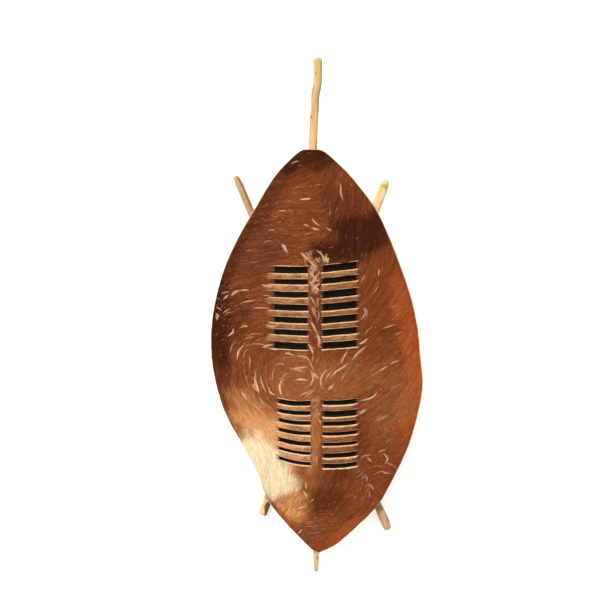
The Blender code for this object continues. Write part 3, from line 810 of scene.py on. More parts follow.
def wood_material(name, pale, middle, deep):
    """Peeled stick: long grain, knots, stains, strips of dark bark left on and dark strips of
    painted shade.
    """
    nodes = Nodes(name)
    grain = nodes.attribute("grain", "Vector")
    long_lines = nodes.noise(nodes.stretched(grain, (420, 420, 12)), 1.0, 4.0, 0.6)
    fine_lines = nodes.noise(nodes.stretched(grain, (1300, 1300, 60)), 1.0, 3.0)
    stain = nodes.noise(nodes.stretched(grain, (70, 70, 22)), 1.0, 4.0, 0.65)
    paint = nodes.ramp(long_lines, (
        (0.28, colour(*deep)), (0.5, colour(*middle)), (0.72, colour(*pale)),
    ))
    lines = nodes.spread(fine_lines, 0.3, 0.7, 0.90, 1.05)
    paint = nodes.blend(1.0, paint, lines, "MULTIPLY")
    mark = nodes.spread(stain, 0.56, 0.74, 0.0, 0.6)
    paint = nodes.blend(mark, paint, colour(158, 108, 66))
    # One dark colour for bark, knot marks and the strips of painted shade.
    bark = nodes.ramp(long_lines, ((0.3, colour(60, 34, 18)), (0.7, colour(118, 74, 42))))
    paint = nodes.blend(nodes.attribute("knot_bark_and_shade", "Fac"), paint, bark)
    nodes.set(Base_Color=paint, Roughness=nodes.spread(long_lines, 0.3, 0.7, 0.62, 0.48))
    nodes.set(Specular_IOR_Level=0.3, Normal=nodes.bump(long_lines, 0.35, 0.0006))
    return nodes.material


def lace_material():
    """Black hide lacing: short black hair, bare pale leather at its two cut sides."""
    nodes = Nodes("black_lacing")
    spots = nodes.spots()
    edge = nodes.attribute("edge", "Fac")
    fine = nodes.noise(nodes.stretched(spots, (900, 260, 300)), 1.0, 3.0)
    paint = nodes.ramp(fine, ((0.3, colour(8, 4, 2)), (0.7, colour(30, 16, 9))))
    ragged = nodes.sum("ADD", edge, nodes.spread(nodes.noise(spots, 500, 2.0), 0, 1, -0.3, 0.3))
    bare = nodes.spread(ragged, 0.35, 0.6, 1.0, 0.0)
    nodes.set(Base_Color=nodes.blend(bare, paint, colour(150, 116, 80)), Roughness=0.6)
    nodes.set(Specular_IOR_Level=0.06, Normal=nodes.bump(fine, 0.5, 0.0005))
    return nodes.material


def hide_points():
    """Flat points of the hide with their kind, and the loops of its rim and its cuts."""
    loops, spots, raised = [], [], []

    def add(run, values):
        first = len(spots)
        spots.extend(map(tuple, run))
        raised.extend(values)
        return list(range(first, len(spots)))

    wobble = RIM_WOBBLE * soft_noise(RIM[:, 0], RIM[:, 1], 0.006, 33)
    rim = RIM + RIM / np.linalg.norm(RIM, axis=1)[:, None] * wobble[:, None]
    loops.append(add(rim, [None] * len(rim)))
    inner = RIM[rim_gap(RIM[:, 0] * 0.96, RIM[:, 1] * 0.98) > 0]
    for inset in (RIM_BEVEL * row for row in RIM_ROWS):
        turned = np.roll(inner, -1, axis=0) - np.roll(inner, 1, axis=0)
        normal = np.stack([-turned[:, 1], turned[:, 0]], axis=1)
        normal /= np.linalg.norm(normal, axis=1)[:, None]
        ring = inner + normal * inset
        keep = rim_gap(ring[:, 0], ring[:, 1]) > inset * 0.6
        add(ring[keep], [None] * int(keep.sum()))
    for column in COLUMNS.values():
        add_cuts(column, add, loops)
    return spots, raised, loops


def across_stations(column):
    """Places along a cut, closer together where the hide bends at its ends."""
    out, inn = column["lace"]
    cut_out, cut_in = column["cut"]
    full_out, full_in, way = full_bulge(column)
    count = max(2, round(abs(full_in - full_out) / STATION_STEP))
    outer = max(3, round(abs(full_out - cut_out) / OUTER_STEP))
    inner = max(3, round(abs(cut_in - full_in) / END_STEP))
    places = [mix(cut_out, full_out, k / outer) for k in range(outer)]
    places += [full_out, out - way * LACE_FLANK, out + way * LACE_FLANK]
    places += [mix(out, inn, k / count) for k in range(1, count)]
    places += [inn - way * LACE_FLANK, inn + way * LACE_FLANK]
    places += [mix(full_in, cut_in, k / inner) for k in range(inner + 1)]
    return np.array(places)


def cut_opening(column, x):
    """How far a cut stands open: the bulge opens it over the lacing, and beyond it is a slit."""
    over = (x > min(column["lace"])) & (x < max(column["lace"]))
    return np.where(over, CUT_OPEN, SLIT)


def add_cuts(column, add, loops):
    """Each cut's opening, its two sides at the heights of the bands beside it, and rows between."""
    xs = across_stations(column)
    inner = xs[1:-1]
    share = share_across(column, inner)
    opening = cut_opening(column, inner)
    for cut in range(2 * ROWS):
        lower = cut % 2
        line = cut_height(column, cut, inner)
        rise = BULGE * share * (-1 if lower else 1)
        top = line + (opening if lower else 0.0)
        bottom = top - opening
        ends = cut_height(column, cut, xs[[0, -1]])
        run = [(xs[0], ends[0])]
        run += list(zip(inner, top))
        run += [(xs[-1], ends[1])]
        run += list(zip(inner, bottom))[::-1]
        values = [0.0, *rise, 0.0, *(-rise)[::-1]]
        loops.append(add(run, values))
    for cut in range(2 * ROWS - 1):
        upper = cut_height(column, cut, xs)
        under = cut_height(column, cut + 1, xs)
        if cut % 2:
            top = bare_width(column, cut, xs)
            low = bare_width(column, cut + 1, xs)
            rows = [upper - top * k for k in BEVEL_ROWS] + [(upper + under) / 2]
            rows += [under + low * k for k in BEVEL_ROWS]
        else:
            rows = [(upper + under) / 2]
        edge = ROW_CLEAR if cut % 2 else CUT_OPEN * 1.25
        for row in rows:
            clear = (upper - row > edge) & (row - under > edge)
            kept = list(zip(xs[clear], row[clear]))
            add(kept, [None] * len(kept))
    for cut, way in ((0, 1), (2 * ROWS - 1, -1)):
        line = cut_height(column, cut, xs)
        bare = bare_width(column, cut, xs)
        for k in BEVEL_ROWS:
            add(list(zip(xs, line + way * bare * k)), [None] * len(xs))
        for beyond in LIP_ROWS:
            add(list(zip(xs, line + way * beyond)), [None] * len(xs))


def filler():
    """Even points over the rest of the hide."""
    across = np.arange(-FIELD[0], FIELD[0], INNER_STEP)
    up = np.arange(-FIELD[1], FIELD[1], INNER_STEP * 0.866)
    grid_x, grid_y = np.meshgrid(across, up)
    grid_x = grid_x + INNER_STEP / 2 * (np.arange(len(up)) % 2)[:, None]
    x, y = grid_x.ravel(), grid_y.ravel()
    keep = rim_gap(x, y) > RIM_BEVEL * RIM_CLEAR
    for column in COLUMNS.values():
        low, high = min(column["cut"]) - CUT_CLEAR, max(column["cut"]) + CUT_CLEAR
        top = cut_height(column, 0, x) + LIP + LIP_CLEAR
        bottom = cut_height(column, 2 * ROWS - 1, x) - LIP - LIP_CLEAR
        keep &= ~((x > low) & (x < high) & (y < top) & (y > bottom))
    return list(zip(x[keep], y[keep]))


def build_hide(materials):
    """The hide as one closed shell, with its slits, rungs, bands and cut rim."""
    spots, raised, loops = hide_points()
    more = filler()
    spots += more
    raised += [None] * len(more)
    edges = []
    for loop in loops:
        edges += list(zip(loop, loop[1:] + loop[:1]))
    flat = [Vector(spot) for spot in spots]
    where, _, faces, origin, _, _ = delaunay_2d_cdt(flat, edges, [], 0, 1e-8)
    x = np.array([p.x for p in where])
    y = np.array([p.y for p in where])
    given = [next((raised[o] for o in old if o < len(raised) and raised[o] is not None), None)
             for old in origin]
    rise, near = bulge_at(x, y)
    on_cut = np.array([value is not None for value in given])
    rise = np.where(on_cut, [0.0 if value is None else value for value in given], rise)
    near = np.where(on_cut, 0.0, near)
    faces = np.array(faces)
    cx, cy = x[faces].mean(axis=1), y[faces].mean(axis=1)
    rim_loop = np.array([spots[k] for k in loops[0]])
    keep = within(cx, cy, rim_loop) & ~inside_cuts(cx, cy)
    faces = faces[keep]
    rim = smooth(1 - rim_gap(x, y) / RIM_BEVEL)
    cut = smooth(1 - near) * (rise >= 0)
    middle = hide_height(x, y) + rise
    drop = BEVEL_DROP * np.maximum(rim, cut)
    wave = FACE_WAVE * soft_noise(x, y, 0.018, 3)
    top = np.stack([x, y, middle + HIDE_THICK / 2 - drop + wave], axis=1)
    bottom = np.stack([x, y, middle - HIDE_THICK / 2 + wave], axis=1)
    count = len(x)
    sides = {}
    for a, b, c in faces:
        sides[(a, b)] = sides[(b, c)] = sides[(c, a)] = True
    walls = []
    for a, b in sides:
        if (b, a) not in sides:
            walls.append((b, a, a + count))
            walls.append((b, a + count, b + count))
    under = faces[:, ::-1] + count
    shell = np.concatenate([faces, under, np.array(walls)])
    slots = [0] * len(faces) + [1] * len(under) + [2] * len(walls)
    edge = np.minimum(rim_gap(x, y) / RIM_BEVEL, np.where(rise >= 0, near, 9.0))
    edge = np.clip(edge, 0.0, 3.0)
    tint = coat(x, y, np.full(count, 0.5)) * 0.8
    used = np.zeros(2 * count, bool)
    used[shell.ravel()] = True
    renumber = np.cumsum(used) - 1
    points = np.concatenate([top, bottom])[used]
    return piece(
        "hide", points, renumber[shell], materials, slots,
        (("tint", with_alpha(np.concatenate([tint, tint]))[used]),
         ("edge", np.concatenate([edge, edge])[used])),
    )


def within(x, y, line):
    """Whether spots lie within a closed line."""
    hit = np.zeros(x.shape, bool)
    for (ax, ay), (bx, by) in zip(line, np.roll(line, -1, axis=0)):
        if ay != by:
            beside = x < ax + (y - ay) / (by - ay) * (bx - ax)
            hit ^= ((ay > y) != (by > y)) & beside
    return hit


def inside_cuts(x, y):
    """Whether a spot lies in one of the openings of the cuts."""
    hit = np.zeros(x.shape, bool)
    for column in COLUMNS.values():
        low, high = min(column["cut"]), max(column["cut"])
        across = (x > low) & (x < high)
        opening = cut_opening(column, x)
        for cut in range(2 * ROWS):
            line = cut_height(column, cut, x)
            top = line + (opening if cut % 2 else 0.0)
            hit |= across & (y < top) & (y > top - opening)
    return hit


def sheet_from_rows(name, rows, thick, materials, attributes):
    """A closed sheet from a grid of middle points; the sides taper at both edges."""
    down, across = rows.shape[:2]
    along = np.gradient(rows, axis=1)
    onward = np.gradient(rows, axis=0)
    normal = np.cross(along, onward)
    normal /= np.linalg.norm(normal, axis=2)[:, :, None]
    top = (rows + normal * thick[:, :, None] / 2).reshape(-1, 3)
    bottom = (rows - normal * thick[:, :, None] / 2).reshape(-1, 3)
    count = down * across
    index = np.arange(count).reshape(down, across)
    quads = np.stack([index[:-1, :-1], index[:-1, 1:], index[1:, 1:], index[1:, :-1]], axis=2)
    quads = quads.reshape(-1, 4)
    ring = list(index[0]) + list(index[1:, -1]) + list(index[-1, -2::-1]) + list(index[-2:0:-1, 0])
    walls = [(b, a, a + count, b + count) for a, b in zip(ring, ring[1:] + ring[:1])]
    shell = np.concatenate([quads, quads[:, ::-1] + count, np.array(walls)])
    slots = [0] * len(quads) + [1] * len(quads) + [1] * len(walls)
    doubled = [(label, np.concatenate([values, values])) for label, values in attributes]
    return piece(name, np.concatenate([top, bottom]), shell, materials, slots, doubled)


def build_lacing(name, column, materials):
    """One lacing strip: it rises a little in each window and sinks at its tails."""
    out, inn = sorted(column["lace"])
    across = np.concatenate([
        [out, out + LACE_BEVEL * 0.5, out + LACE_BEVEL],
        np.linspace(out + LACE_INSET, inn - LACE_INSET, round((inn - out) / STATION_STEP)),
        [inn - LACE_BEVEL, inn - LACE_BEVEL * 0.5, inn],
    ])
    rows, sinks, lifts = [], [], []
    for beyond in np.linspace(LACE_TAIL, 0.0, TAIL_ROWS)[:-1]:
        rows.append(cut_height(column, 0, across) + beyond)
        sinks.append(BULGE * (1 - smooth(1 - beyond / LIP)))
        lifts.append(0.0)
    for cut in range(2 * ROWS - 1):
        upper, under = cut_height(column, cut, across), cut_height(column, cut + 1, across)
        for part in (k / BAND_ROWS for k in range(BAND_ROWS)):
            rows.append(mix(upper, under, part))
            sinks.append(0.0)
            lifts.append(0.0 if cut % 2 else WINDOW_CROWN * math.sin(math.pi * part))
    for beyond in np.linspace(0.0, LACE_TAIL, TAIL_ROWS):
        rows.append(cut_height(column, 2 * ROWS - 1, across) - beyond)
        sinks.append(BULGE * (1 - smooth(1 - beyond / LIP)))
        lifts.append(0.0)
    rows, sinks, lifts = np.array(rows)[::-1], np.array(sinks)[::-1], np.array(lifts)[::-1]
    x = np.tile(across, (len(rows), 1))
    side = np.minimum(x - out, inn - x)
    drop = LACE_DROP * smooth(1 - side / LACE_BEVEL)
    z = hide_height(x, rows) - sinks[:, None] + lifts[:, None] - drop
    edge = np.clip(side / LACE_BEVEL, 0.0, 3.0)
    thick = np.full(x.shape, LACE_THICK * 0.9) * mix(0.6, 1.0, smooth(side / LACE_BEVEL))
    grid = np.stack([x, rows, z], axis=2)
    return sheet_from_rows("lacing_" + name + "_strip", grid, thick, materials,
                           (("edge", edge.ravel()),))


def follow(x, y, stray, before=None):
    """The hair's direction at a spot, turned by each lock's own stray angle."""
    dx, dy = lie_at(x, y, before)
    return dx * np.cos(stray) - dy * np.sin(stray), dx * np.sin(stray) + dy * np.cos(stray)


def lock_paths(x, y, length, stray, steps=3, heading=None, bend=0.0):
    """The middle lines of locks: along the lie of the hair, or along arcs of their own."""
    path_x, path_y = [x], [y]
    before = None
    for k in range(steps):
        if heading is None:
            before = follow(path_x[-1], path_y[-1], stray, before)
        else:
            turn = heading + stray + bend * (k + 0.5) / steps
            before = (np.cos(turn), np.sin(turn))
        path_x.append(path_x[-1] + before[0] * length / steps)
        path_y.append(path_y[-1] + before[1] * length / steps)
    return np.array(path_x).T, np.array(path_y).T


def locks(name, px, py, width, lift, root_shade, tip_shade, material, surface, seed, roll=0.2):
    """Flat tapered locks that lie along the hide, as one piece; a row of px and py is a lock."""
    random = np.random.default_rng(seed)
    count, steps = len(px), px.shape[1] - 1
    along = np.linspace(0, 1, steps + 1)
    rise = np.sin(math.pi * (0.02 + 0.78 * along)) * lift[:, None]
    pz = surface(px.ravel(), py.ravel()).reshape(px.shape) + rise
    roll = random.normal(0, roll, count)[:, None]
    run_x, run_y = np.gradient(px, axis=1), np.gradient(py, axis=1)
    size = np.hypot(run_x, run_y)
    middle = np.stack([px, py, pz], axis=2)
    side = np.stack([
        -run_y / size * np.cos(roll), run_x / size * np.cos(roll),
        np.sin(roll) * np.ones_like(size) * 0.6,
    ], axis=2)
    swell = np.minimum(1.0, 0.5 + 1.4 * along) * (1 - 0.5 * along ** 2) / 2 * width[:, None]
    side = side[:, :steps] * swell[:, :steps, None]
    points = np.concatenate([
        middle[:, :steps] + side, middle[:, :steps] - side, middle[:, steps:],
    ], axis=1)
    each = 2 * steps + 1
    base = np.arange(count)[:, None] * each
    loops = [
        base + [k + steps, k + steps + 1, k + 1, k] for k in range(steps - 1)
    ] + [base + [2 * steps - 1, 2 * steps, steps - 1]]
    loops = np.concatenate(loops, axis=1).ravel()
    per_lock = 4 * (steps - 1) + 3
    starts = (np.arange(count)[:, None] * per_lock + 4 * np.arange(steps)).ravel()
    points = points.reshape(-1, 3) + np.array(SHIFT)
    mesh = fresh_mesh(name, points, loops, starts)
    part = np.concatenate([along[:steps], along[:steps], [1.0]])
    sideways = np.array([0.0] * steps + [1.0] * steps + [0.5])
    shade = mix(root_shade[:, None, :], tip_shade[:, None, :], part[None, :, None])
    luck = random.uniform(0, 40, (count, 1))
    lock = np.stack([
        np.tile(part * 2.2, (count, 1)), np.tile(sideways, (count, 1)) + luck,
        np.tile(luck, (1, each)),
    ], axis=2).reshape(-1, 3)
    made = finish_piece(name, mesh, [material], (
        ("tint", with_alpha(shade.reshape(-1, 3))), ("lock", lock),
    ))
    add_bake_map(made, count, part, sideways)
    return made


def add_bake_map(made, count, part, sideways):
    """Gives each lock its own small cell of the texture, so that it keeps its own colour."""
    rows = math.ceil(math.sqrt(count))
    cell = 1 / rows
    index = np.arange(count)
    u0, v0 = (index % rows) * cell, (index // rows) * cell
    inset = 0.18
    u = u0[:, None] + cell * mix(inset, 1 - inset, sideways)[None, :]
    v = v0[:, None] + cell * mix(inset, 1 - inset, part)[None, :]
    spots = np.stack([u, v], axis=2).reshape(-1, 2)
    mesh = made.data
    layer = mesh.uv_layers.new(name="OFBake")
    order = np.zeros(len(mesh.loops), np.int32)
    mesh.loops.foreach_get("vertex_index", order)
    layer.data.foreach_set("uv", spots[order].astype(np.float32).ravel())


def scattered(spacing, seed, keep):
    """Jittered even spots over the hide."""
    random = np.random.default_rng(seed)
    across = np.arange(-LOCK_FIELD[0], LOCK_FIELD[0], spacing)
    up = np.arange(-LOCK_FIELD[1], LOCK_FIELD[1], spacing)
    x, y = (a.ravel() for a in np.meshgrid(across, up))
    x = x + random.uniform(-0.6, 0.6, len(x)) * spacing
    y = y + random.uniform(-0.6, 0.6, len(y)) * spacing
    kept = keep(x, y)
    return x[kept], y[kept]


FIT_PARTS = 8


def fitted_length(x, y, length, stray, margin):
    """Shortens each lock so that it ends before the rim or a cut."""
    reach = np.zeros_like(length)
    open_still = np.ones(len(x), bool)
    at_x, at_y = x.copy(), y.copy()
    before = None
    for _ in range(FIT_PARTS):
        before = follow(at_x, at_y, stray, before)
        at_x = at_x + before[0] * length / FIT_PARTS
        at_y = at_y + before[1] * length / FIT_PARTS
        fine = (rim_gap(at_x, at_y) > margin) & ~in_window(at_x, at_y, CUT_MARGIN)
        open_still &= fine
        reach = np.where(open_still, reach + length / FIT_PARTS, reach)
    return reach


def coat_layer(name, spacing, length, width, lift, seed, material):
    """One layer of the coat."""
    def keep(x, y):
        return (rim_gap(x, y) > RIM_BEVEL * 0.8) & ~in_window(x, y, CUT_MARGIN)

    x, y = scattered(spacing, seed, keep)
    random = np.random.default_rng(seed + 1)
    size = random.uniform(0.75, 1.25, len(x)) * length
    stray = random.normal(0, STRAY, len(x))
    size = fitted_length(x, y, size, stray, RIM_BEVEL * 0.4)
    kept = size > SHORTEST_LOCK
    x, y, size, stray = x[kept], y[kept], size[kept], stray[kept]
    count = len(x)
    shade = coat(x, y, random.uniform(0, 1, count))
    shade = shade * (1 + 0.10 * random.normal(0, 1, (count, 1)))
    shade = np.clip(shade, 0.003, 0.95)
    thin = width * random.uniform(0.7, 1.3, count) * np.minimum(1.0, size / length + 0.35)
    high = lift * random.uniform(0.5, 1.3, count)
    px, py = lock_paths(x, y, size, stray)
    return locks(name, px, py, thin, high, shade * 0.84, shade * 1.10, material, hair_side,
                 seed + 4)


# Pale tufts, in pixels: width, how pale, and the spots along each from root to tip
TUFTS = (
    (1.6, 0.8, 299.5, 161, 296, 162, 292.5, 163),
    (2.4, 0.8, 339.5, 181, 341, 187, 341, 193, 343, 200.5),
    (1.0, 0.5, 322.5, 185, 319, 185, 315.5, 185), (1.0, 0.5, 303, 186.5, 300, 187, 297, 187.5),
    (3.4, 0.95, 311.5, 199, 308, 199, 301, 200), (1.0, 0.5, 330.5, 210, 330, 213, 329.5, 216),
    (1.2, 0.6, 287.5, 211, 283, 211, 278.5, 211), (2.4, 0.85, 312, 217.5, 314, 222, 319.5, 226),
    (2.4, 0.6, 303.5, 224.5, 305.5, 225, 308, 226), (3.0, 0.85, 310, 227.5, 314.5, 229, 318.5, 230),
    (2.8, 0.8, 325.5, 228, 328, 229, 330.5, 230.5), (1.4, 0.7, 275.5, 230, 272, 230, 268.5, 230),
    (0.9, 0.5, 299, 236, 296, 236, 293, 236), (1.4, 0.4, 303, 237, 307, 234, 312, 233),
    (1.0, 0.5, 272, 240.5, 268, 241, 264, 241.5), (4.0, 0.9, 281, 243, 284, 247, 287, 252),
    (0.9, 0.5, 255.5, 249.5, 251, 250, 246.5, 250.5), (1.8, 0.8, 316, 250, 320, 253, 324, 257),
    (4.0, 0.95, 300, 251.5, 303.5, 255, 308, 260), (3.0, 0.9, 321, 252, 323, 257, 324, 262.5),
    (3.0, 0.95, 326.5, 253, 326, 258, 326, 262.5),
    (2.6, 0.9, 329, 257, 328, 260, 328, 262.5),
    (2.6, 0.8, 306, 258, 311, 262, 316, 268), (0.8, 0.5, 261, 261.5, 255, 262, 249, 262.5),
    (3.0, 0.85, 318, 265, 313, 271, 309, 278), (2.2, 0.9, 379.5, 269, 379, 272, 378.5, 275),
    (2.6, 0.85, 308, 270, 312, 275, 317, 281), (2.6, 0.8, 321, 270, 316, 277, 311, 284),
    (2.6, 0.85, 304, 271, 310, 269, 316, 266), (1.6, 0.8, 365, 274, 363, 278, 361, 282),
    (3.0, 0.9, 308, 281, 313, 286, 320, 291), (3.2, 0.9, 321, 282, 316, 286, 311, 290),
    (3.0, 0.9, 308, 284, 313, 281, 320, 280), (2.2, 0.8, 260, 284.5, 266, 286, 273, 287),
    (0.9, 0.5, 379, 285, 376, 290, 373, 295), (2.0, 0.8, 238, 291, 243, 290, 249, 290),
    (2.0, 0.7, 220, 295, 223, 293, 228, 292), (1.4, 0.7, 261, 296, 268, 296, 274, 297),
    (3.0, 0.9, 306.5, 296, 310, 297, 313, 301, 316, 306), (3.4, 0.85, 230, 297, 234, 293, 239, 291),
    (2.8, 0.95, 222.5, 300.5, 225, 298, 227.5, 295.5),
    (1.6, 0.8, 239, 304, 244, 302, 251, 301, 258, 299),
    (0.9, 0.5, 400, 304.5, 395, 306, 390, 307.5), (2.4, 0.8, 215, 306, 218, 308, 221, 310),
    (1.8, 0.8, 361, 306, 365, 310, 364.5, 315, 361, 319.5),
    (1.2, 0.6, 364, 306, 367, 311, 366, 318), (1.4, 0.6, 311, 308, 314, 313, 316, 319),
    (1.4, 0.6, 250, 308.5, 260, 308, 270, 308), (1.4, 0.6, 318, 309, 319, 315, 317, 322),
    (4.2, 0.8, 215, 313, 217.5, 315, 217, 319), (1.6, 0.7, 222, 314, 225, 311.5, 229, 309),
    (1.4, 0.6, 223, 318, 226, 314, 230, 312), (1.4, 0.6, 398, 323, 391, 326, 383, 328.5),
    (3.4, 0.9, 307.5, 323.5, 311, 322, 314, 327, 317, 334),
    (2.2, 0.9, 266, 325, 270, 326, 275, 327), (1.2, 0.5, 372, 327, 368, 330, 365, 335),
    (2.6, 0.9, 239.5, 328.5, 243, 326.5, 247, 326), (0.9, 0.5, 404, 331.5, 400, 333, 396, 334.5),
    (4.2, 0.95, 316, 333, 318.5, 337, 320, 343), (1.4, 0.5, 246, 337, 253, 334, 262, 334),
    (3.6, 0.95, 369, 337, 363, 342, 357, 345),
    (2.8, 0.9, 226.5, 337.5, 230, 334.5, 233, 332, 233, 329),
    (1.2, 0.5, 240, 341, 247, 338, 255, 336), (3.4, 0.95, 318, 341, 319, 345, 322, 349),
    (1.6, 0.6, 233, 343, 231, 348, 230, 354), (2.8, 0.95, 246, 343, 241, 348, 238, 353, 237, 359),
    (3.4, 1.0, 308.5, 344, 311, 348, 313, 353),
    (2.8, 0.8, 368.5, 344, 363, 349, 358, 353, 352, 360),
    (1.6, 0.7, 248, 347, 253, 344, 260, 344, 268, 346), (1.4, 0.6, 249, 348, 245, 352, 243, 358),
    (3.0, 0.95, 261, 349, 266, 346, 272, 345), (2.4, 0.95, 350, 349, 346, 353, 343, 358, 341, 363),
    (1.6, 0.6, 312, 352, 313, 357, 312, 361), (3.0, 0.8, 284, 354, 288, 353, 294, 355.5),
    (1.4, 0.6, 346, 355, 343, 359, 341, 364), (2.6, 0.7, 249, 356, 250, 360, 250, 363),
    (1.8, 0.7, 293, 356, 300, 356, 306, 357, 310, 361), (1.6, 0.5, 249, 357, 250, 362, 249, 369),
    (1.6, 0.6, 308, 359, 311, 364, 314, 371),
    (2.2, 0.9, 353, 360, 347, 364, 342, 368, 336, 371, 332, 375),
    (2.0, 0.8, 399, 361, 395, 361.5, 391, 364), (1.2, 0.5, 276, 366, 273, 372, 272, 380),
    (2.0, 0.85, 389, 366, 384, 368, 380, 370.5), (2.6, 0.8, 311, 367, 312, 373, 313, 379, 310, 386),
    (2.2, 0.5, 254, 368, 255, 375, 256, 382), (2.0, 0.9, 274, 368, 277, 365, 282, 363.5, 284, 365),
    (2.2, 0.9, 329, 368, 324, 372, 321, 378, 320.5, 383, 322, 388),
    (2.2, 0.8, 288, 368.5, 295, 368, 301, 367.5, 307, 367),
    (3.0, 0.6, 294, 370, 298, 370, 302, 371), (1.8, 0.8, 333, 370, 329, 374, 326, 379),
    (1.6, 0.7, 348, 370, 344, 375, 341, 380), (1.0, 0.5, 381, 370, 376, 373, 371, 376),
    (1.6, 0.7, 339, 371, 334, 374, 331, 378), (1.2, 0.5, 246, 372, 247, 380, 249, 387),
    (1.6, 0.8, 261, 372, 261, 379, 263, 386, 266, 392), (1.6, 0.6, 289, 372, 284, 375, 280, 381),
    (4.2, 0.9, 312, 372, 315, 375, 318, 378), (4.2, 0.95, 254, 374, 256, 383, 259, 393),
    (3.0, 1.0, 286, 377, 282, 381, 279.5, 385, 280, 391, 282, 396),
    (1.0, 0.5, 266, 380, 268, 388, 272, 395), (3.2, 0.9, 295, 380, 300, 379, 307.5, 380),
    (3.0, 0.8, 252, 382, 254, 387, 257, 391), (0.9, 0.5, 403.5, 383, 397, 386, 390.5, 389),
    (2.4, 0.9, 334, 384, 331, 387, 328.5, 389), (1.6, 0.7, 319, 385, 312, 390, 305, 393, 298, 396),
    (2.6, 0.9, 269, 386, 270, 392, 275, 395), (1.4, 0.6, 318, 388, 310, 393, 304, 397),
    (2.8, 0.8, 240, 389, 243, 394, 247, 400),
    (2.2, 0.8, 378, 391, 373, 396.5, 366, 399.5, 359, 401),
    (1.4, 0.6, 259, 395, 261, 400, 265, 406), (1.2, 0.6, 233.5, 396.5, 236, 402, 238.5, 407.5),
    (1.4, 0.7, 250, 399, 256, 407, 263.5, 414), (1.2, 0.6, 243, 404, 247, 410, 251, 416),
    (1.8, 0.9, 367, 408.5, 362, 411, 358, 414.5), (2.0, 0.8, 367, 409, 362, 413, 355, 415),
    (1.0, 0.5, 391.5, 414.5, 384, 418, 376.5, 421.5), (1.2, 0.5, 389, 415, 382, 417, 375, 420),
    (0.8, 0.5, 395.5, 436, 390, 440, 384.5, 444), (2.2, 0.8, 378, 452.5, 381.5, 451, 385, 450),
    (3.0, 0.9, 382, 453, 386, 456, 388, 460, 385, 464), (2.6, 0.8, 367, 457, 369, 459, 371, 461),
    (1.8, 0.7, 360, 458, 365, 455.5, 371, 455), (1.6, 0.6, 385, 463, 390, 464, 394, 466),
    (3.0, 0.5, 393, 465, 395, 467, 397, 469), (1.0, 0.5, 364, 467, 360, 470, 356, 473),
    (1.2, 0.5, 371, 468, 376, 466, 381, 466), (1.4, 0.5, 364, 470, 361, 474, 357, 477),
    (3.0, 0.8, 377, 473, 382, 471, 385, 473, 390, 473.5),
    (1.8, 0.9, 305.5, 480, 306, 484, 306.5, 488),
    (1.8, 0.7, 360, 480, 364, 477, 367, 477, 367, 481),
    (2.2, 0.8, 363, 487, 369, 485, 372, 487, 374, 491),
    (2.0, 0.9, 303, 489.5, 305, 493, 307, 496.5), (1.8, 0.7, 369, 490, 369.5, 494, 369, 498),
    (2.0, 0.9, 299, 496.5, 297, 499, 295, 501.5), (1.4, 0.7, 314.5, 498, 312, 500, 309.5, 502),
    (2.6, 0.9, 292, 504.5, 290, 508, 288, 511.5), (2.6, 0.9, 305.5, 506, 302, 507, 298.5, 508),
    (0.7, 0.4, 325, 516.5, 315, 521, 304, 521), (0.6, 0.4, 329, 521, 317, 526, 304, 525.5),
    (0.6, 0.4, 328, 527, 318, 532, 307, 533), (2.2, 0.9, 303, 528, 300, 531, 297, 534),
)
TUFT_FINE = 0.0007  # width of a strand in a tuft
TUFT_STEPS = 5
TUFT_SLIM = 0.62  # a tuft's width over the width read for it
TUFT_REACH = 1.6  # how far its hairs run on past both ends, in pixels
FAINT_TUFTS = 0.7  # how pale the tufts low on the right are

# Where the crossing tufts lie between the upper columns: pixel, spread in pixels and count
SPINE_TUFTS = (
    (312, 258, 8, 7, 60), (314, 269, 7, 7, 70), (312, 279, 7, 7, 60), (316, 288, 6, 6, 50),
    (309, 297, 4, 5, 24), (308, 323, 3, 4, 20), (318, 336, 3, 9, 30), (311, 348, 4, 4, 20),
    (314, 311, 3, 8, 30), (320, 300, 3, 5, 24), (314, 402, 5, 4, 50), (316, 413, 5, 5, 40),
    (319, 418, 3, 4, 24), (310, 436, 3, 5, 24), (314, 460, 5, 5, 30),
)


def on_line(spots, share):
    """Places on a smooth line through the spots, from share 0 at the first to 1 at the last."""
    spots = np.array(spots, float).reshape(-1, 2)
    ends = 2 * spots[0] - spots[1], 2 * spots[-1] - spots[-2]
    padded = np.concatenate([[ends[0]], spots, [ends[1]]])
    at = share * (len(spots) - 1)
    i = np.clip(np.floor(at).astype(int), 0, len(spots) - 2)
    t = (at - i)[..., None]
    a, b, c, d = (padded[i + k] for k in range(4))
    return 0.5 * (2 * b + (c - a) * t + (2 * a - 5 * b + 4 * c - d) * t ** 2
                  + (3 * b - a - 3 * c + d) * t ** 3)


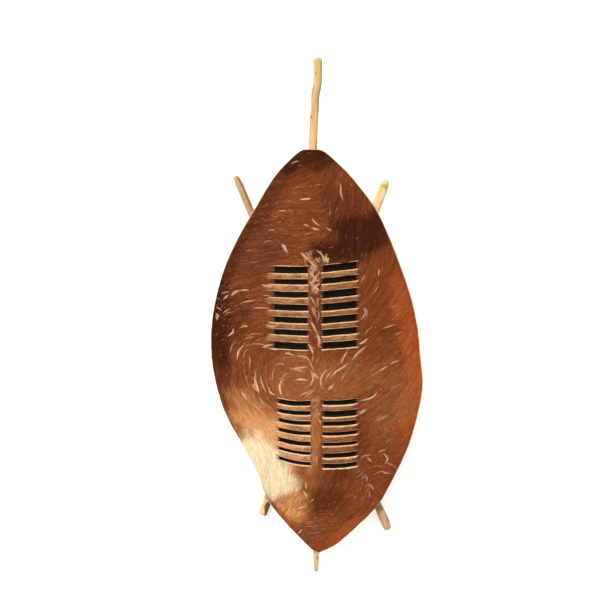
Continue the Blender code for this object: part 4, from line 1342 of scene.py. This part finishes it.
def strands_of_tufts(random):
    """Paths and shades of the strands in the tufts; each tuft narrows to both ends."""
    parts = []
    for width, paleness, *spots in TUFTS:
        whole = math.dist(spots[:2], spots[-2:])
        over = TUFT_REACH / whole
        slim = width * TUFT_SLIM
        strands = int(7 + 1.1 * whole * width)
        share = random.uniform(0.5, 0.95, strands)[:, None]
        start = random.uniform(0, 1, strands)[:, None] * (1 - share)
        at = start + share * np.linspace(0, 1, TUFT_STEPS + 1)
        swell = (0.06 + 0.94 * np.sin(math.pi * at ** 1.3) ** 1.2) * slim
        at = at * (1 + 2 * over) - over
        middle = on_line(spots, at)
        ahead = on_line(spots, at + 0.02) - on_line(spots, at - 0.02)
        ahead /= np.linalg.norm(ahead, axis=2)[:, :, None]
        off = random.normal(0, 0.26, strands)[:, None] * swell
        off = off + random.normal(0, 0.2, strands)[:, None] * (at - 0.5)
        px = middle[..., 0] - off * ahead[..., 1]
        py = middle[..., 1] + off * ahead[..., 0]
        x, y = place(px, py)
        pale = mix(BLOND, TAN, random.uniform(0, 1, (strands, 1)) ** 2.5)
        here = mix(1.0, FAINT_TUFTS, smooth((spots[0] - 345) / 25) * smooth((spots[1] - 400) / 30))
        own = here * paleness * random.uniform(0.45, 1.2, (strands, 1)).clip(0, 1)
        parts.append((x, y, mix(coat(x[:, 0], y[:, 0], np.full(strands, 0.5)), pale, own)))
    return parts


def strands_of_spine(random):
    """Clumps of crossing strands between the columns."""
    parts = []
    for px, py, wide, tall, count in SPINE_TUFTS:
        cx, cy = place(px, py)
        clumps = max(3, count // 6)
        clump = random.integers(0, clumps, count)
        x, y = (
            mid + random.normal(0, 0.15, count) * size * PIXEL
            + (random.normal(0, 0.38, clumps) * size * PIXEL)[clump]
            for mid, size in ((cx, wide), (cy, tall))
        )
        lies = np.radians(random.choice([228.0, 256.0, 290.0, 316.0], clumps))
        lies = lies + random.normal(0, 0.25, clumps)
        heading = lies[clump] + random.normal(0, 0.14, count)
        size = random.uniform(0.009, 0.020, count)
        bend = random.normal(0, 0.6, clumps)[clump]
        pale = mix(PALE, TAN, random.uniform(0, 1, (count, 1)) ** 1.2)
        pale = pale * random.uniform(0.7, 1.0, (count, 1))
        x, y = x - np.cos(heading) * size / 2, y - np.sin(heading) * size / 2
        parts.append((*lock_paths(x, y, size, np.zeros(count), TUFT_STEPS, heading, bend), pale))
    return parts


def tuft_layer(material):
    """Clumps of pale hair that lie among the brown."""
    random = np.random.default_rng(404)
    parts = strands_of_tufts(random) + strands_of_spine(random)
    x, y, pale = (np.concatenate([p[k] for p in parts]) for k in range(3))
    clear = (rim_gap(x[:, 0], y[:, 0]) > RIM_BEVEL) & (rim_gap(x[:, -1], y[:, -1]) > RIM_BEVEL)
    for k in range(TUFT_STEPS + 1):
        clear &= ~in_window(x[:, k], y[:, k], CUT_MARGIN)
    x, y, pale = x[clear], y[clear], pale[clear]
    count = len(x)
    width = TUFT_FINE * random.uniform(0.7, 1.3, count)
    lift = random.uniform(0.0011, 0.0018, count)
    return locks("pale_tufts", x, y, width, lift, pale * 0.8, pale, material, hair_side, 405)


# Where pale hairs are sprinkled most: pixel, reach in pixels and density
TICKS = (
    (232, 300, 18, 0.35), (240, 345, 22, 0.35), (256, 385, 18, 0.40), (300, 372, 26, 0.30),
    (338, 366, 22, 0.25), (280, 225, 24, 0.22), (375, 470, 20, 0.25), (388, 370, 26, 0.15),
    (300, 505, 14, 0.40), (312, 262, 14, 0.40), (245, 410, 18, 0.35), (318, 524, 18, 0.2),
)


TICK_SPACING = 0.0036
TICK_DENSITY = 0.05  # away from those places


def ticking(material):
    """Single pale hairs sprinkled over the coat."""
    def keep(x, y):
        return (rim_gap(x, y) > 0.004) & ~in_window(x, y, 0.0016)

    x, y = scattered(TICK_SPACING, 61, keep)
    random = np.random.default_rng(62)
    density = np.full(len(x), TICK_DENSITY)
    for px, py, reach, amount in TICKS:
        cx, cy = place(px, py)
        density += amount * np.exp(-((x - cx) ** 2 + (y - cy) ** 2) / (reach * PIXEL) ** 2)
    chosen = random.uniform(0, 1, len(x)) < density
    x, y = x[chosen], y[chosen]
    size = random.uniform(0.007, 0.018, len(x))
    stray = random.normal(0, 0.16, len(x))
    size = fitted_length(x, y, size, stray, RIM_BEVEL)
    kept = size > 0.003
    x, y, size, stray = x[kept], y[kept], size[kept], stray[kept]
    count = len(x)
    shade = mix(coat(x, y, np.full(count, 0.5)), PALE, random.uniform(0.1, 0.5, (count, 1)))
    width = random.uniform(0.0006, 0.0012, count)
    lift = random.uniform(0.0009, 0.0014, count)
    px, py = lock_paths(x, y, size, stray)
    return locks("ticking", px, py, width, lift, shade * 0.9, shade, material, hair_side, 64)


LACE_HAIRS = 150  # in each window


def lace_hair(material):
    """Short black hair on the lacing where the windows show it."""
    random = np.random.default_rng(81)
    runs = []
    for column in COLUMNS.values():
        low, high = min(column["lace"]) + 0.0014, max(column["lace"]) - 0.0014
        for window in range(ROWS):
            x = random.uniform(low, high, LACE_HAIRS)
            upper = cut_height(column, 2 * window, x)
            under = cut_height(column, 2 * window + 1, x)
            part = random.uniform(0.06, 0.94, LACE_HAIRS)
            runs.append(np.stack([x, mix(upper, under, part), 1 - part]))
    x, y, part_down = np.concatenate(runs, axis=1)
    count = len(x)
    # The hairs are black near the top of each window and lighter towards its bottom: painted shadow
    # of the rung above.
    low = smooth((0.55 - part_down) / 0.4)[:, None]
    shade = mix(BLACK, colour(74, 56, 38), low * random.uniform(0, 1, (count, 1)))

    def surface(sx, sy):
        return hide_height(sx, sy) + LACE_THICK / 2 + 0.0004

    size = random.uniform(0.003, 0.006, count)
    heading = random.choice([0.0, math.pi], count) + random.normal(0, 0.25, count)
    px, py = lock_paths(x, y, size, np.zeros(count), heading=heading)
    return locks("lacing_hair", px, py, np.full(count, 0.0007), np.full(count, 0.0004),
                 shade * 0.8, shade, material, surface, 82)


# Rings along a stick: their spacing, and the finer spacing over both tips
STICK_STEP = 0.004
TIP_LENGTH = 0.020
TIP_STEP = 0.0008
STICK_SIDES = 28  # points of a ring
BOW_PARTS = 12  # parts of a stick's path between its level stretch and the crossing

# Whittling: how far a flat sways round the stick, how much its depth changes, how high knots stand
FLAT_SWAY = 0.16
FLAT_DEPTH = 0.05
SWAY_LENGTH = 0.05
DEPTH_LENGTH = 0.035
KNOT_RISE = 0.0012
SHARP_ANGLE = 24

# Knots: how far along the stick, at what angle round it, and how large. Dark strips: start and
# end along the stick, angle round it, half width in radians and strength. The strips near angle 0
# lie on a stick's side away from the key light and are painted shade; those across a stick's top
# where it comes out from under the hide are painted shadow of the hide; the rest are bark left on.
CENTRE_KNOTS = ((0.063, 0.6, 0.0040), (0.120, 2.4, 0.0036), (0.033, 2.0, 0.003), (1.0, 1.2, 0.003))
CENTRE_STRIPS = (
    (0.004, 0.30, 0.45, 0.55, 0.45), (0.055, 0.085, 2.6, 0.4, 0.5), (0.9, 1.03, 0.4, 0.5, 0.3),
)
LEFT_KNOTS = ((0.030, 1.0, 0.003),)
LEFT_STRIPS = (
    (0.002, 0.12, 0.45, 0.65, 0.55), (0.69, 0.738, 1.6, 1.6, 0.5), (0.72, 0.765, 0.3, 0.6, 0.6),
)
RIGHT_KNOTS = ((0.090, 1.3, 0.0026),)
RIGHT_STRIPS = (
    (0.012, 0.12, 0.2, 0.55, 0.4), (0.62, 0.80, 0.25, 1.3, 0.95), (0.62, 0.69, 1.6, 1.6, 0.6),
)


def stick_mesh(name, path, material, seed, knots, strips):
    """A whittled stick round a path of (middle, radius): wandering flats, grain and knots."""
    middles = np.array([tuple(m) for m, _ in path])
    radii = np.array([r for _, r in path])
    away = np.concatenate([[0], np.cumsum(np.linalg.norm(np.diff(middles, axis=0), axis=1))])
    whole = away[-1]
    fine = np.concatenate([
        np.arange(0, TIP_LENGTH - TIP_STEP / 2, TIP_STEP),
        np.arange(TIP_LENGTH, whole - TIP_LENGTH - STICK_STEP / 2, STICK_STEP),
        np.arange(whole - TIP_LENGTH, whole - TIP_STEP / 2, TIP_STEP), [whole],
    ])
    mx, my, mz = (np.interp(fine, away, middles[:, k]) for k in range(3))
    radius = np.interp(fine, away, radii)
    ahead = np.stack([np.gradient(mx), np.gradient(my)], axis=1)
    ahead /= np.linalg.norm(ahead, axis=1)[:, None]
    sides = STICK_SIDES
    around = 2 * math.pi * np.arange(sides) / sides
    best = np.zeros((len(fine), sides))
    for k in range(SIDES):
        centre = 2 * math.pi * (k + 0.5) / SIDES
        down = abs(((centre - 1.5 * math.pi + math.pi) % (2 * math.pi)) - math.pi) < 0.2
        sway, uneven = (0, 0) if down else (FLAT_SWAY, FLAT_DEPTH)
        centre = centre + sway * soft_noise(fine, fine * 0 + k, SWAY_LENGTH, seed + k)
        depth = 1 + uneven * soft_noise(fine, fine * 0 + k, DEPTH_LENGTH, seed + 20 + k)
        near = np.cos(around[None, :] - centre[:, None]) / (FLAT * depth[:, None])
        best = np.maximum(best, near)
    reach = radius[:, None] / np.maximum(best, 0.9)
    reach = np.minimum(reach, radius[:, None] * 1.02)
    knot_bark_and_shade = np.zeros_like(reach)
    for at, angle, size in knots:
        spread = np.hypot(fine[:, None] - at, (np.angle(np.exp(1j * (around - angle))))[None, :]
                          * radius[:, None])
        bump = np.exp(-(spread / size) ** 2)
        reach = reach + KNOT_RISE * bump
        knot_bark_and_shade = np.maximum(knot_bark_and_shade, smooth((np.exp(-(spread / (size * 0.55)) ** 2) - 0.25) / 0.5))
    # Dark strips: painted shade on the side away from the key light and where the stick comes out
    # from under the hide, and bark left on.
    for start, end, angle, wide, strength in strips:
        turn = np.abs(np.angle(np.exp(1j * (around - angle))))[None, :]
        ragged = 0.5 * soft_noise(fine, fine * 0, 0.02, seed + 60)[:, None]
        on = smooth((fine - start) / 0.006) * smooth((end - fine) / 0.006)
        cover = strength * on[:, None] * smooth((wide * (1 + ragged) - turn) / 0.35)
        knot_bark_and_shade = np.maximum(knot_bark_and_shade, cover)
    bark = soft_noise(fine[:, None] * np.ones(sides), around[None, :] * 0.004
                      * np.ones((len(fine), 1)), 0.016, seed + 50)
    knot_bark_and_shade = np.maximum(knot_bark_and_shade, 0.5 * smooth((bark - 0.62) / 0.2))
    side = np.stack([-ahead[:, 1], ahead[:, 0]], axis=1)
    px = mx[:, None] + side[:, :1] * np.cos(around) * reach
    py = my[:, None] + side[:, 1:] * np.cos(around) * reach
    pz = np.maximum(mz[:, None] + np.sin(around) * reach, 0.0)
    points = np.stack([px, py, pz], axis=2).reshape(-1, 3)
    count = len(fine)
    index = np.arange(count * sides).reshape(count, sides)
    turned = np.roll(index, -1, axis=1)
    quads = np.stack([index[:-1], turned[:-1], turned[1:], index[1:]], axis=2).reshape(-1, 4)
    faces = [tuple(q) for q in quads]
    tip = len(points)
    ends = np.array([[mx[0], my[0], mz[0]], [mx[-1], my[-1], mz[-1]]])
    points = np.concatenate([points, ends])
    faces += [(tip, turned[0, k], index[0, k]) for k in range(sides)]
    faces += [(tip + 1, index[-1, k], turned[-1, k]) for k in range(sides)]
    grain = np.stack([
        np.cos(around)[None, :] * reach, np.sin(around)[None, :] * reach,
        fine[:, None] * np.ones(sides),
    ], axis=2).reshape(-1, 3)
    grain = np.concatenate([grain, [[0, 0, 0], [0, 0, whole]]]) + seed * 0.1
    knot_bark_and_shade = np.concatenate([knot_bark_and_shade.ravel(), [0, 0]])
    made = piece(name, points, faces, [material], None, (("grain", grain), ("knot_bark_and_shade", knot_bark_and_shade)))
    made.data.set_sharp_from_angle(angle=math.radians(SHARP_ANGLE))
    return made


# How a stick ends: distances from the tip and shares of the radius there
ROUNDED = ((0.0, 0.25), (0.0008, 0.55), (0.0022, 0.80), (0.0050, 0.97), (0.009, 1.0))
BLUNT = ((0.0, 0.72), (0.0012, 0.88), (0.0030, 1.0))
WHITTLED = ((0.0, 0.30), (0.003, 0.60), (0.010, 0.96), (0.014, 1.0))
TAPERED = ((0.0, 0.34), (0.001, 0.46), (0.004, 0.56), (0.030, 0.66), (0.140, 1.0))
NARROWED = ((0.0, 0.36), (0.001, 0.54), (0.003, 0.70), (0.008, 0.84), (0.020, 1.0))
KNOBBED = ((0.0, 0.66), (0.0010, 0.90), (0.0025, 1.06), (0.008, 1.22), (0.030, 1.20))


def cross_stick(name, ends, radius, middle_height, styles, material, seed, knots, strips):
    """A cross stick: its ends lie level, and it bows up to the crossing."""
    start, finish = (Vector((*spot_of(end), 0.0)) for end in ends)
    whole = (finish - start).length
    way = (finish - start).normalized()
    meet = (Vector((CROSS_X, CROSS_Y, 0.0)) - start).length
    low = radius * FLAT
    places = [*styles[0], (FOOT, 1.0)]
    shares = [k / BOW_PARTS for k in range(1, BOW_PARTS)]
    places += [(mix(FOOT, meet, share), 1.0) for share in shares] + [(meet, 1.0)]
    places += [(mix(meet, whole - FOOT, share), 1.0) for share in shares]
    places += [(whole - FOOT, 1.0)] + [(whole - d, share) for d, share in reversed(styles[1])]
    path = []
    for d, share in places:
        arm = meet - FOOT if d < meet else whole - meet - FOOT
        rise = 1 - min(abs(d - meet) / arm, 1.0)
        z = low * max(share, 1.0) + (middle_height - low) * float(smooth(rise))
        path.append((start + way * d + Vector((0, 0, z)), radius * share))
    return stick_mesh(name, path, material, seed, knots, strips)


def kink_off(d):
    """How far the centre stick's crook lies off its line at a distance from the tip."""
    places = (*CENTRE_KINK, (0.0, CENTRE_TOP))
    for (a, da), (b, db) in zip(places, places[1:]):
        if d <= db:
            return mix(a, b, (d - da) / (db - da))
    return 0.0


def centre_stick(material):
    """The long stick, with its crook at the upper end and a thin lower end."""
    top = HIDE_LENGTH / 2 + CENTRE_TOP
    whole = top + HIDE_LENGTH / 2 + CENTRE_BOTTOM
    places = [*ROUNDED, *((k * 0.01, 1.0) for k in range(1, 19))]
    places += [(mix(CENTRE_TOP, whole - TAPERED[-1][0], k / 12), 1.0) for k in range(12)]
    places += [(whole - d, share) for d, share in reversed(TAPERED)]
    path = []
    for d, share in places:
        y = top - d
        path.append((Vector((ridge_x(y) + kink_off(d), y, CENTRE_MID)), CENTRE_RADIUS * share))
    return stick_mesh("centre_stick_whittled", path, material, 7, CENTRE_KNOTS, CENTRE_STRIPS)


def hull(points):
    """The convex outline of flat points."""
    points = sorted(set(points))
    half = []
    for run in (points, points[::-1]):
        line = []
        for p in run:
            while len(line) > 1 and (
                (line[-1][0] - line[-2][0]) * (p[1] - line[-2][1])
                - (line[-1][1] - line[-2][1]) * (p[0] - line[-2][0])
            ) <= 1e-12:
                line.pop()
            line.append(p)
        half += line[:-1]
    return half


LASH_TURNS = 5
LASH_AROUND = 96  # points round a turn
LASH_SECTION = 8  # points round the thong
LASH_LEAN = 0.0007
ROUND_POINTS = 36  # points round a stick, which the turns lie on

# Parts in which a strap's wings, its loop and its width are laid
WING_PARTS = 8
LOOP_PARTS = 18
STRAP_PARTS = 10

# Stitches: how many in a row, how far each row lies from the loop, and the points of one stitch
STITCHES = 4
STITCH_ROWS = (0.010, 0.018)
STITCH_RINGS = 7
STITCH_SIDES = 6


def lash_line(y, grow):
    """The line round the three sticks at one height up the hide."""
    points = []
    spots = [[spot_of(end) for end in ends] for ends in (LEFT_ENDS, RIGHT_ENDS)]
    rounds = [(ridge_x(y), CENTRE_MID, CENTRE_RADIUS)]
    for ((ax, ay), (bx, by)), mid, radius in zip(
        spots, (LEFT_MID, RIGHT_MID), (LEFT_RADIUS, RIGHT_RADIUS)
    ):
        lean = (bx - ax) / (by - ay)
        rounds.append((CROSS_X + lean * (y - CROSS_Y), mid, radius * math.hypot(1, lean)))
    for x, z, radius in rounds:
        for i in range(ROUND_POINTS):
            turn = 2 * math.pi * i / ROUND_POINTS
            px = x + (radius + grow) * math.cos(turn)
            pz = z + (radius * FLAT + grow) * math.sin(turn)
            points.append((round(float(px), 7), round(float(pz), 7)))
    return hull(points)


def even_ring(line, count):
    """The same closed line with evenly spaced points, from its lowest one on."""
    line = np.array(line)
    line = np.roll(line, -int(np.argmin(line[:, 1])), axis=0)
    closed = np.concatenate([line, line[:1]])
    away = np.concatenate([[0], np.cumsum(np.linalg.norm(np.diff(closed, axis=0), axis=1))])
    at = np.linspace(0, away[-1], count, endpoint=False)
    return np.stack([np.interp(at, away, closed[:, k]) for k in range(2)], axis=1)


def build_lash(material):
    """Turns of flat thong side by side round the crossing."""
    points, faces = [], []
    around, section = LASH_AROUND, LASH_SECTION
    pitch = LASH_WIDTH / LASH_TURNS
    for turn in range(LASH_TURNS):
        y = CROSS_Y - LASH_WIDTH / 2 + pitch * (turn + 0.5)
        ring = even_ring(lash_line(y, FIT_GAP + THONG_THICK * 0.45), around)
        middle = ring.mean(axis=0)
        first = len(points)
        for k, (x, z) in enumerate(ring):
            lean = LASH_LEAN * math.sin(2 * math.pi * k / around + turn)
            ahead = ring[(k + 1) % around] - ring[k - 1]
            normal = np.array([ahead[1], -ahead[0]])
            normal /= np.linalg.norm(normal)
            if normal @ (ring[k] - middle) < 0:
                normal = -normal
            for s in range(section):
                angle = 2 * math.pi * s / section
                out = THONG_THICK * 0.42 * math.sin(angle)
                wide = pitch * 0.48 * math.cos(angle)
                points.append((x + normal[0] * out, y + wide + lean, z + normal[1] * out))
        for k in range(around):
            for s in range(section):
                a, b = first + k * section + s, first + k * section + (s + 1) % section
                c = first + ((k + 1) % around) * section + (s + 1) % section
                d = first + ((k + 1) % around) * section + s
                faces.append((a, b, c, d))
    points = np.array(points)
    points[:, 2] = np.maximum(points[:, 2], 0.0003)
    return piece("thong_lash", points, faces, [material])


def strap_line(y):
    """One row of a strap: a wing, the loop under the stick and the other wing."""
    mid = ridge_x(y)
    turn_radius = CENTRE_RADIUS + FIT_GAP + STRAP_THICK / 2
    drop = HIDE_THICK / 2 + FIT_GAP + STRAP_THICK / 2
    line = []
    for k in range(WING_PARTS + 1):
        x = mid - turn_radius - mix(STRAP_WING, WING_START, k / WING_PARTS)
        line.append((x, y, float(hide_height(x, y)) - drop))
    for k in range(LOOP_PARTS + 1):
        turn = math.pi * (1 + k / LOOP_PARTS)
        line.append((mid + turn_radius * math.cos(turn), y, CENTRE_MID
                     + turn_radius * math.sin(turn)))
    for k in range(WING_PARTS + 1):
        x = mid + turn_radius + mix(WING_START, STRAP_WING, k / WING_PARTS)
        line.append((x, y, float(hide_height(x, y)) - drop))
    return line


def build_strap(name, y, materials):
    """A raw hide strap round the centre stick, thinner at its edges."""
    shares = [k / STRAP_PARTS for k in range(STRAP_PARTS + 1)]
    rows = np.array([strap_line(y + STRAP_WIDTH * (share - 0.5)) for share in shares])
    thick = np.full(rows.shape[:2], STRAP_THICK * 0.95)
    thick[[0, -1]] *= 0.6
    thick[:, [0, -1]] *= 0.6
    return sheet_from_rows(name, rows, thick, materials, ())


def build_stitches(name, y, material):
    """Two rows of thong stitches that sew a strap's wings to the back of the hide."""
    points, faces = [], []
    rings, sides = STITCH_RINGS, STITCH_SIDES
    mid = ridge_x(y)
    near = CENTRE_RADIUS + FIT_GAP + STRAP_THICK / 2
    drop = HIDE_THICK / 2 + FIT_GAP + STRAP_THICK
    for way in (-1, 1):
        for k in range(STITCHES):
            sy = y + STRAP_WIDTH * (-0.36 + 0.24 * k)
            for off in STITCH_ROWS:
                x0 = mid + way * (near + off)
                first = len(points)
                for r in range(rings):
                    t = r / (rings - 1)
                    cx = x0 + 0.0016 * (t - 0.5)
                    cy = sy + 0.0042 * (t - 0.5)
                    base = float(hide_height(cx, cy)) - drop
                    sag = 0.0009 * math.sin(math.pi * t)
                    for s in range(sides):
                        angle = 2 * math.pi * s / sides
                        points.append((
                            cx + 0.0006 * math.cos(angle), cy,
                            base - sag + 0.0004 * math.sin(angle),
                        ))
                for r in range(rings - 1):
                    for s in range(sides):
                        a = first + r * sides + s
                        b = first + r * sides + (s + 1) % sides
                        faces.append((a, a + sides, b + sides, b))
                last = first + (rings - 1) * sides
                faces.append(tuple(first + s for s in range(sides)))
                faces.append(tuple(last + s for s in range(sides))[::-1])
    return piece(name, points, faces, [material])


def thong_material():
    """Twisted raw thong."""
    nodes = Nodes("thong")
    spots = nodes.spots()
    twist = nodes.noise(nodes.stretched(spots, (500, 160, 500)), 1.0, 4.0, 0.6)
    paint = nodes.ramp(twist, ((0.3, colour(126, 88, 54)), (0.7, colour(196, 158, 112))))
    nodes.set(Base_Color=paint, Roughness=0.6, Normal=nodes.bump(twist, 0.5, 0.0006))
    return nodes.material


def build_stage():
    """Plain white floor under the shield."""
    half = FLOOR_HALF
    mesh = bpy.data.meshes.new("floor")
    mesh.from_pydata(
        [(-half, -half, 0), (half, -half, 0), (half, half, 0), (-half, half, 0)], [],
        [(0, 1, 2, 3)],
    )
    nodes = Nodes("floor_white")
    grain = nodes.noise(nodes.spots(), 30, 3.0)
    paint = nodes.ramp(grain, ((0.3, (0.93, 0.93, 0.93)), (0.7, (0.95, 0.95, 0.95))))
    nodes.set(Base_Color=paint, Roughness=0.9, Specular_IOR_Level=0.0)
    nodes.set(Emission_Color=(1.0, 1.0, 1.0), Emission_Strength=FLOOR_GLOW)
    mesh.materials.append(nodes.material)
    floor = bpy.data.objects.new("floor", mesh)
    bpy.context.scene.collection.objects.link(floor)


def build_light():
    """Even daylight, a soft key from the upper left and a weak one opposite."""
    world = bpy.data.worlds.new("studio")
    bpy.context.scene.world = world
    world.use_nodes = True
    background = world.node_tree.nodes["Background"]
    background.inputs["Color"].default_value = (1.0, 1.0, 1.0, 1.0)
    background.inputs["Strength"].default_value = DAYLIGHT
    for name, azimuth, elevation, strength, width in LAMPS:
        lamp = bpy.data.lights.new(name, "SUN")
        lamp.energy = strength
        lamp.angle = math.radians(width)
        held = bpy.data.objects.new(name, lamp)
        turn, up = math.radians(azimuth), math.radians(elevation)
        towards = Vector((
            math.cos(turn) * math.cos(up), math.sin(turn) * math.cos(up), math.sin(up),
        ))
        held.rotation_euler = towards.to_track_quat("Z", "Y").to_euler()
        bpy.context.scene.collection.objects.link(held)


def build_camera():
    """Looks straight down, so that a pixel is 2 mm at the height of the hide."""
    level = float(RIDGE_LOW) - MEAN_FALL
    x, y = place(PICTURE / 2, PICTURE / 2)
    lens = bpy.data.cameras.new("camera")
    lens.sensor_width = SENSOR
    lens.lens = SENSOR * (CAMERA_UP - level) / (PICTURE * PIXEL)
    camera = bpy.data.objects.new("camera", lens)
    camera.location = (x + SHIFT.x, y + SHIFT.y, CAMERA_UP)
    bpy.context.scene.collection.objects.link(camera)
    bpy.context.scene.camera = camera


def worn(made, node, slot_name):
    """The piece stands for that CAD node and rides with the whole object."""
    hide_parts(node)
    dressed(made, slot_name)


def dressed(made, slot_name):
    """The piece rides with the whole object; slot_name is not used."""
    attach(made, "root")


def main():
    bpy.context.scene.view_settings.view_transform = "Standard"
    build_camera()
    skin, edge, flesh = skin_material(), edge_material(), flesh_material()
    hair = hair_material("coat_hair", 0.45, 0.18)
    tuft_hair = hair_material("tuft_hair", 0.5, 0.20)
    black_hair = hair_material("black_hair", 0.6, 0.06)
    centre_wood = wood_material("wood_centre", (236, 202, 146), (218, 180, 124), (182, 138, 86))
    left_wood = wood_material("wood_left", (222, 188, 142), (198, 160, 116), (150, 112, 74))
    right_wood = wood_material("wood_right", (250, 226, 174), (240, 208, 154), (198, 154, 104))
    thong = thong_material()
    worn(build_hide([skin, flesh, edge]), "hide_face", "hide")
    lace = lace_material()
    lace_back = flesh_material("lacing_back", (150, 120, 88), (88, 62, 42))
    for name, column in COLUMNS.items():
        worn(build_lacing(name, column, [lace, lace_back]), "lacing_" + name, "black_hide")
    dressed(lace_hair(black_hair), "black_hide")
    for k, (spacing, length, width) in enumerate(LAYERS):
        dressed(coat_layer(f"coat_{k + 1}", spacing, length, width, LAYER_LIFT + LIFT_STEP * k,
                           500 + 20 * k, hair), "hide")
    dressed(ticking(tuft_hair), "hide")
    dressed(tuft_layer(tuft_hair), "hide")
    worn(centre_stick(centre_wood), "centre_stick", "peeled_wood")
    left = cross_stick("cross_stick_left_whittled", LEFT_ENDS, LEFT_RADIUS, LEFT_MID,
                       (NARROWED, KNOBBED), left_wood, 17, LEFT_KNOTS, LEFT_STRIPS)
    worn(left, "cross_stick_left", "peeled_wood")
    right = cross_stick("cross_stick_right_whittled", RIGHT_ENDS, RIGHT_RADIUS, RIGHT_MID,
                        (WHITTLED, BLUNT), right_wood, 27, RIGHT_KNOTS, RIGHT_STRIPS)
    worn(right, "cross_stick_right", "peeled_wood")
    worn(build_lash(thong), "crossing_lash", "rawhide")
    strap = flesh_material("strap_rawhide", (196, 158, 112), (142, 102, 64))
    for name, y in zip(("upper", "lower"), STRAPS):
        worn(build_strap(f"strap_{name}_sewn", y, [strap, strap]), "strap_" + name, "rawhide")
        dressed(build_stitches(f"strap_{name}_stitches", y, thong), "rawhide")
    build_stage()
    build_light()


main()
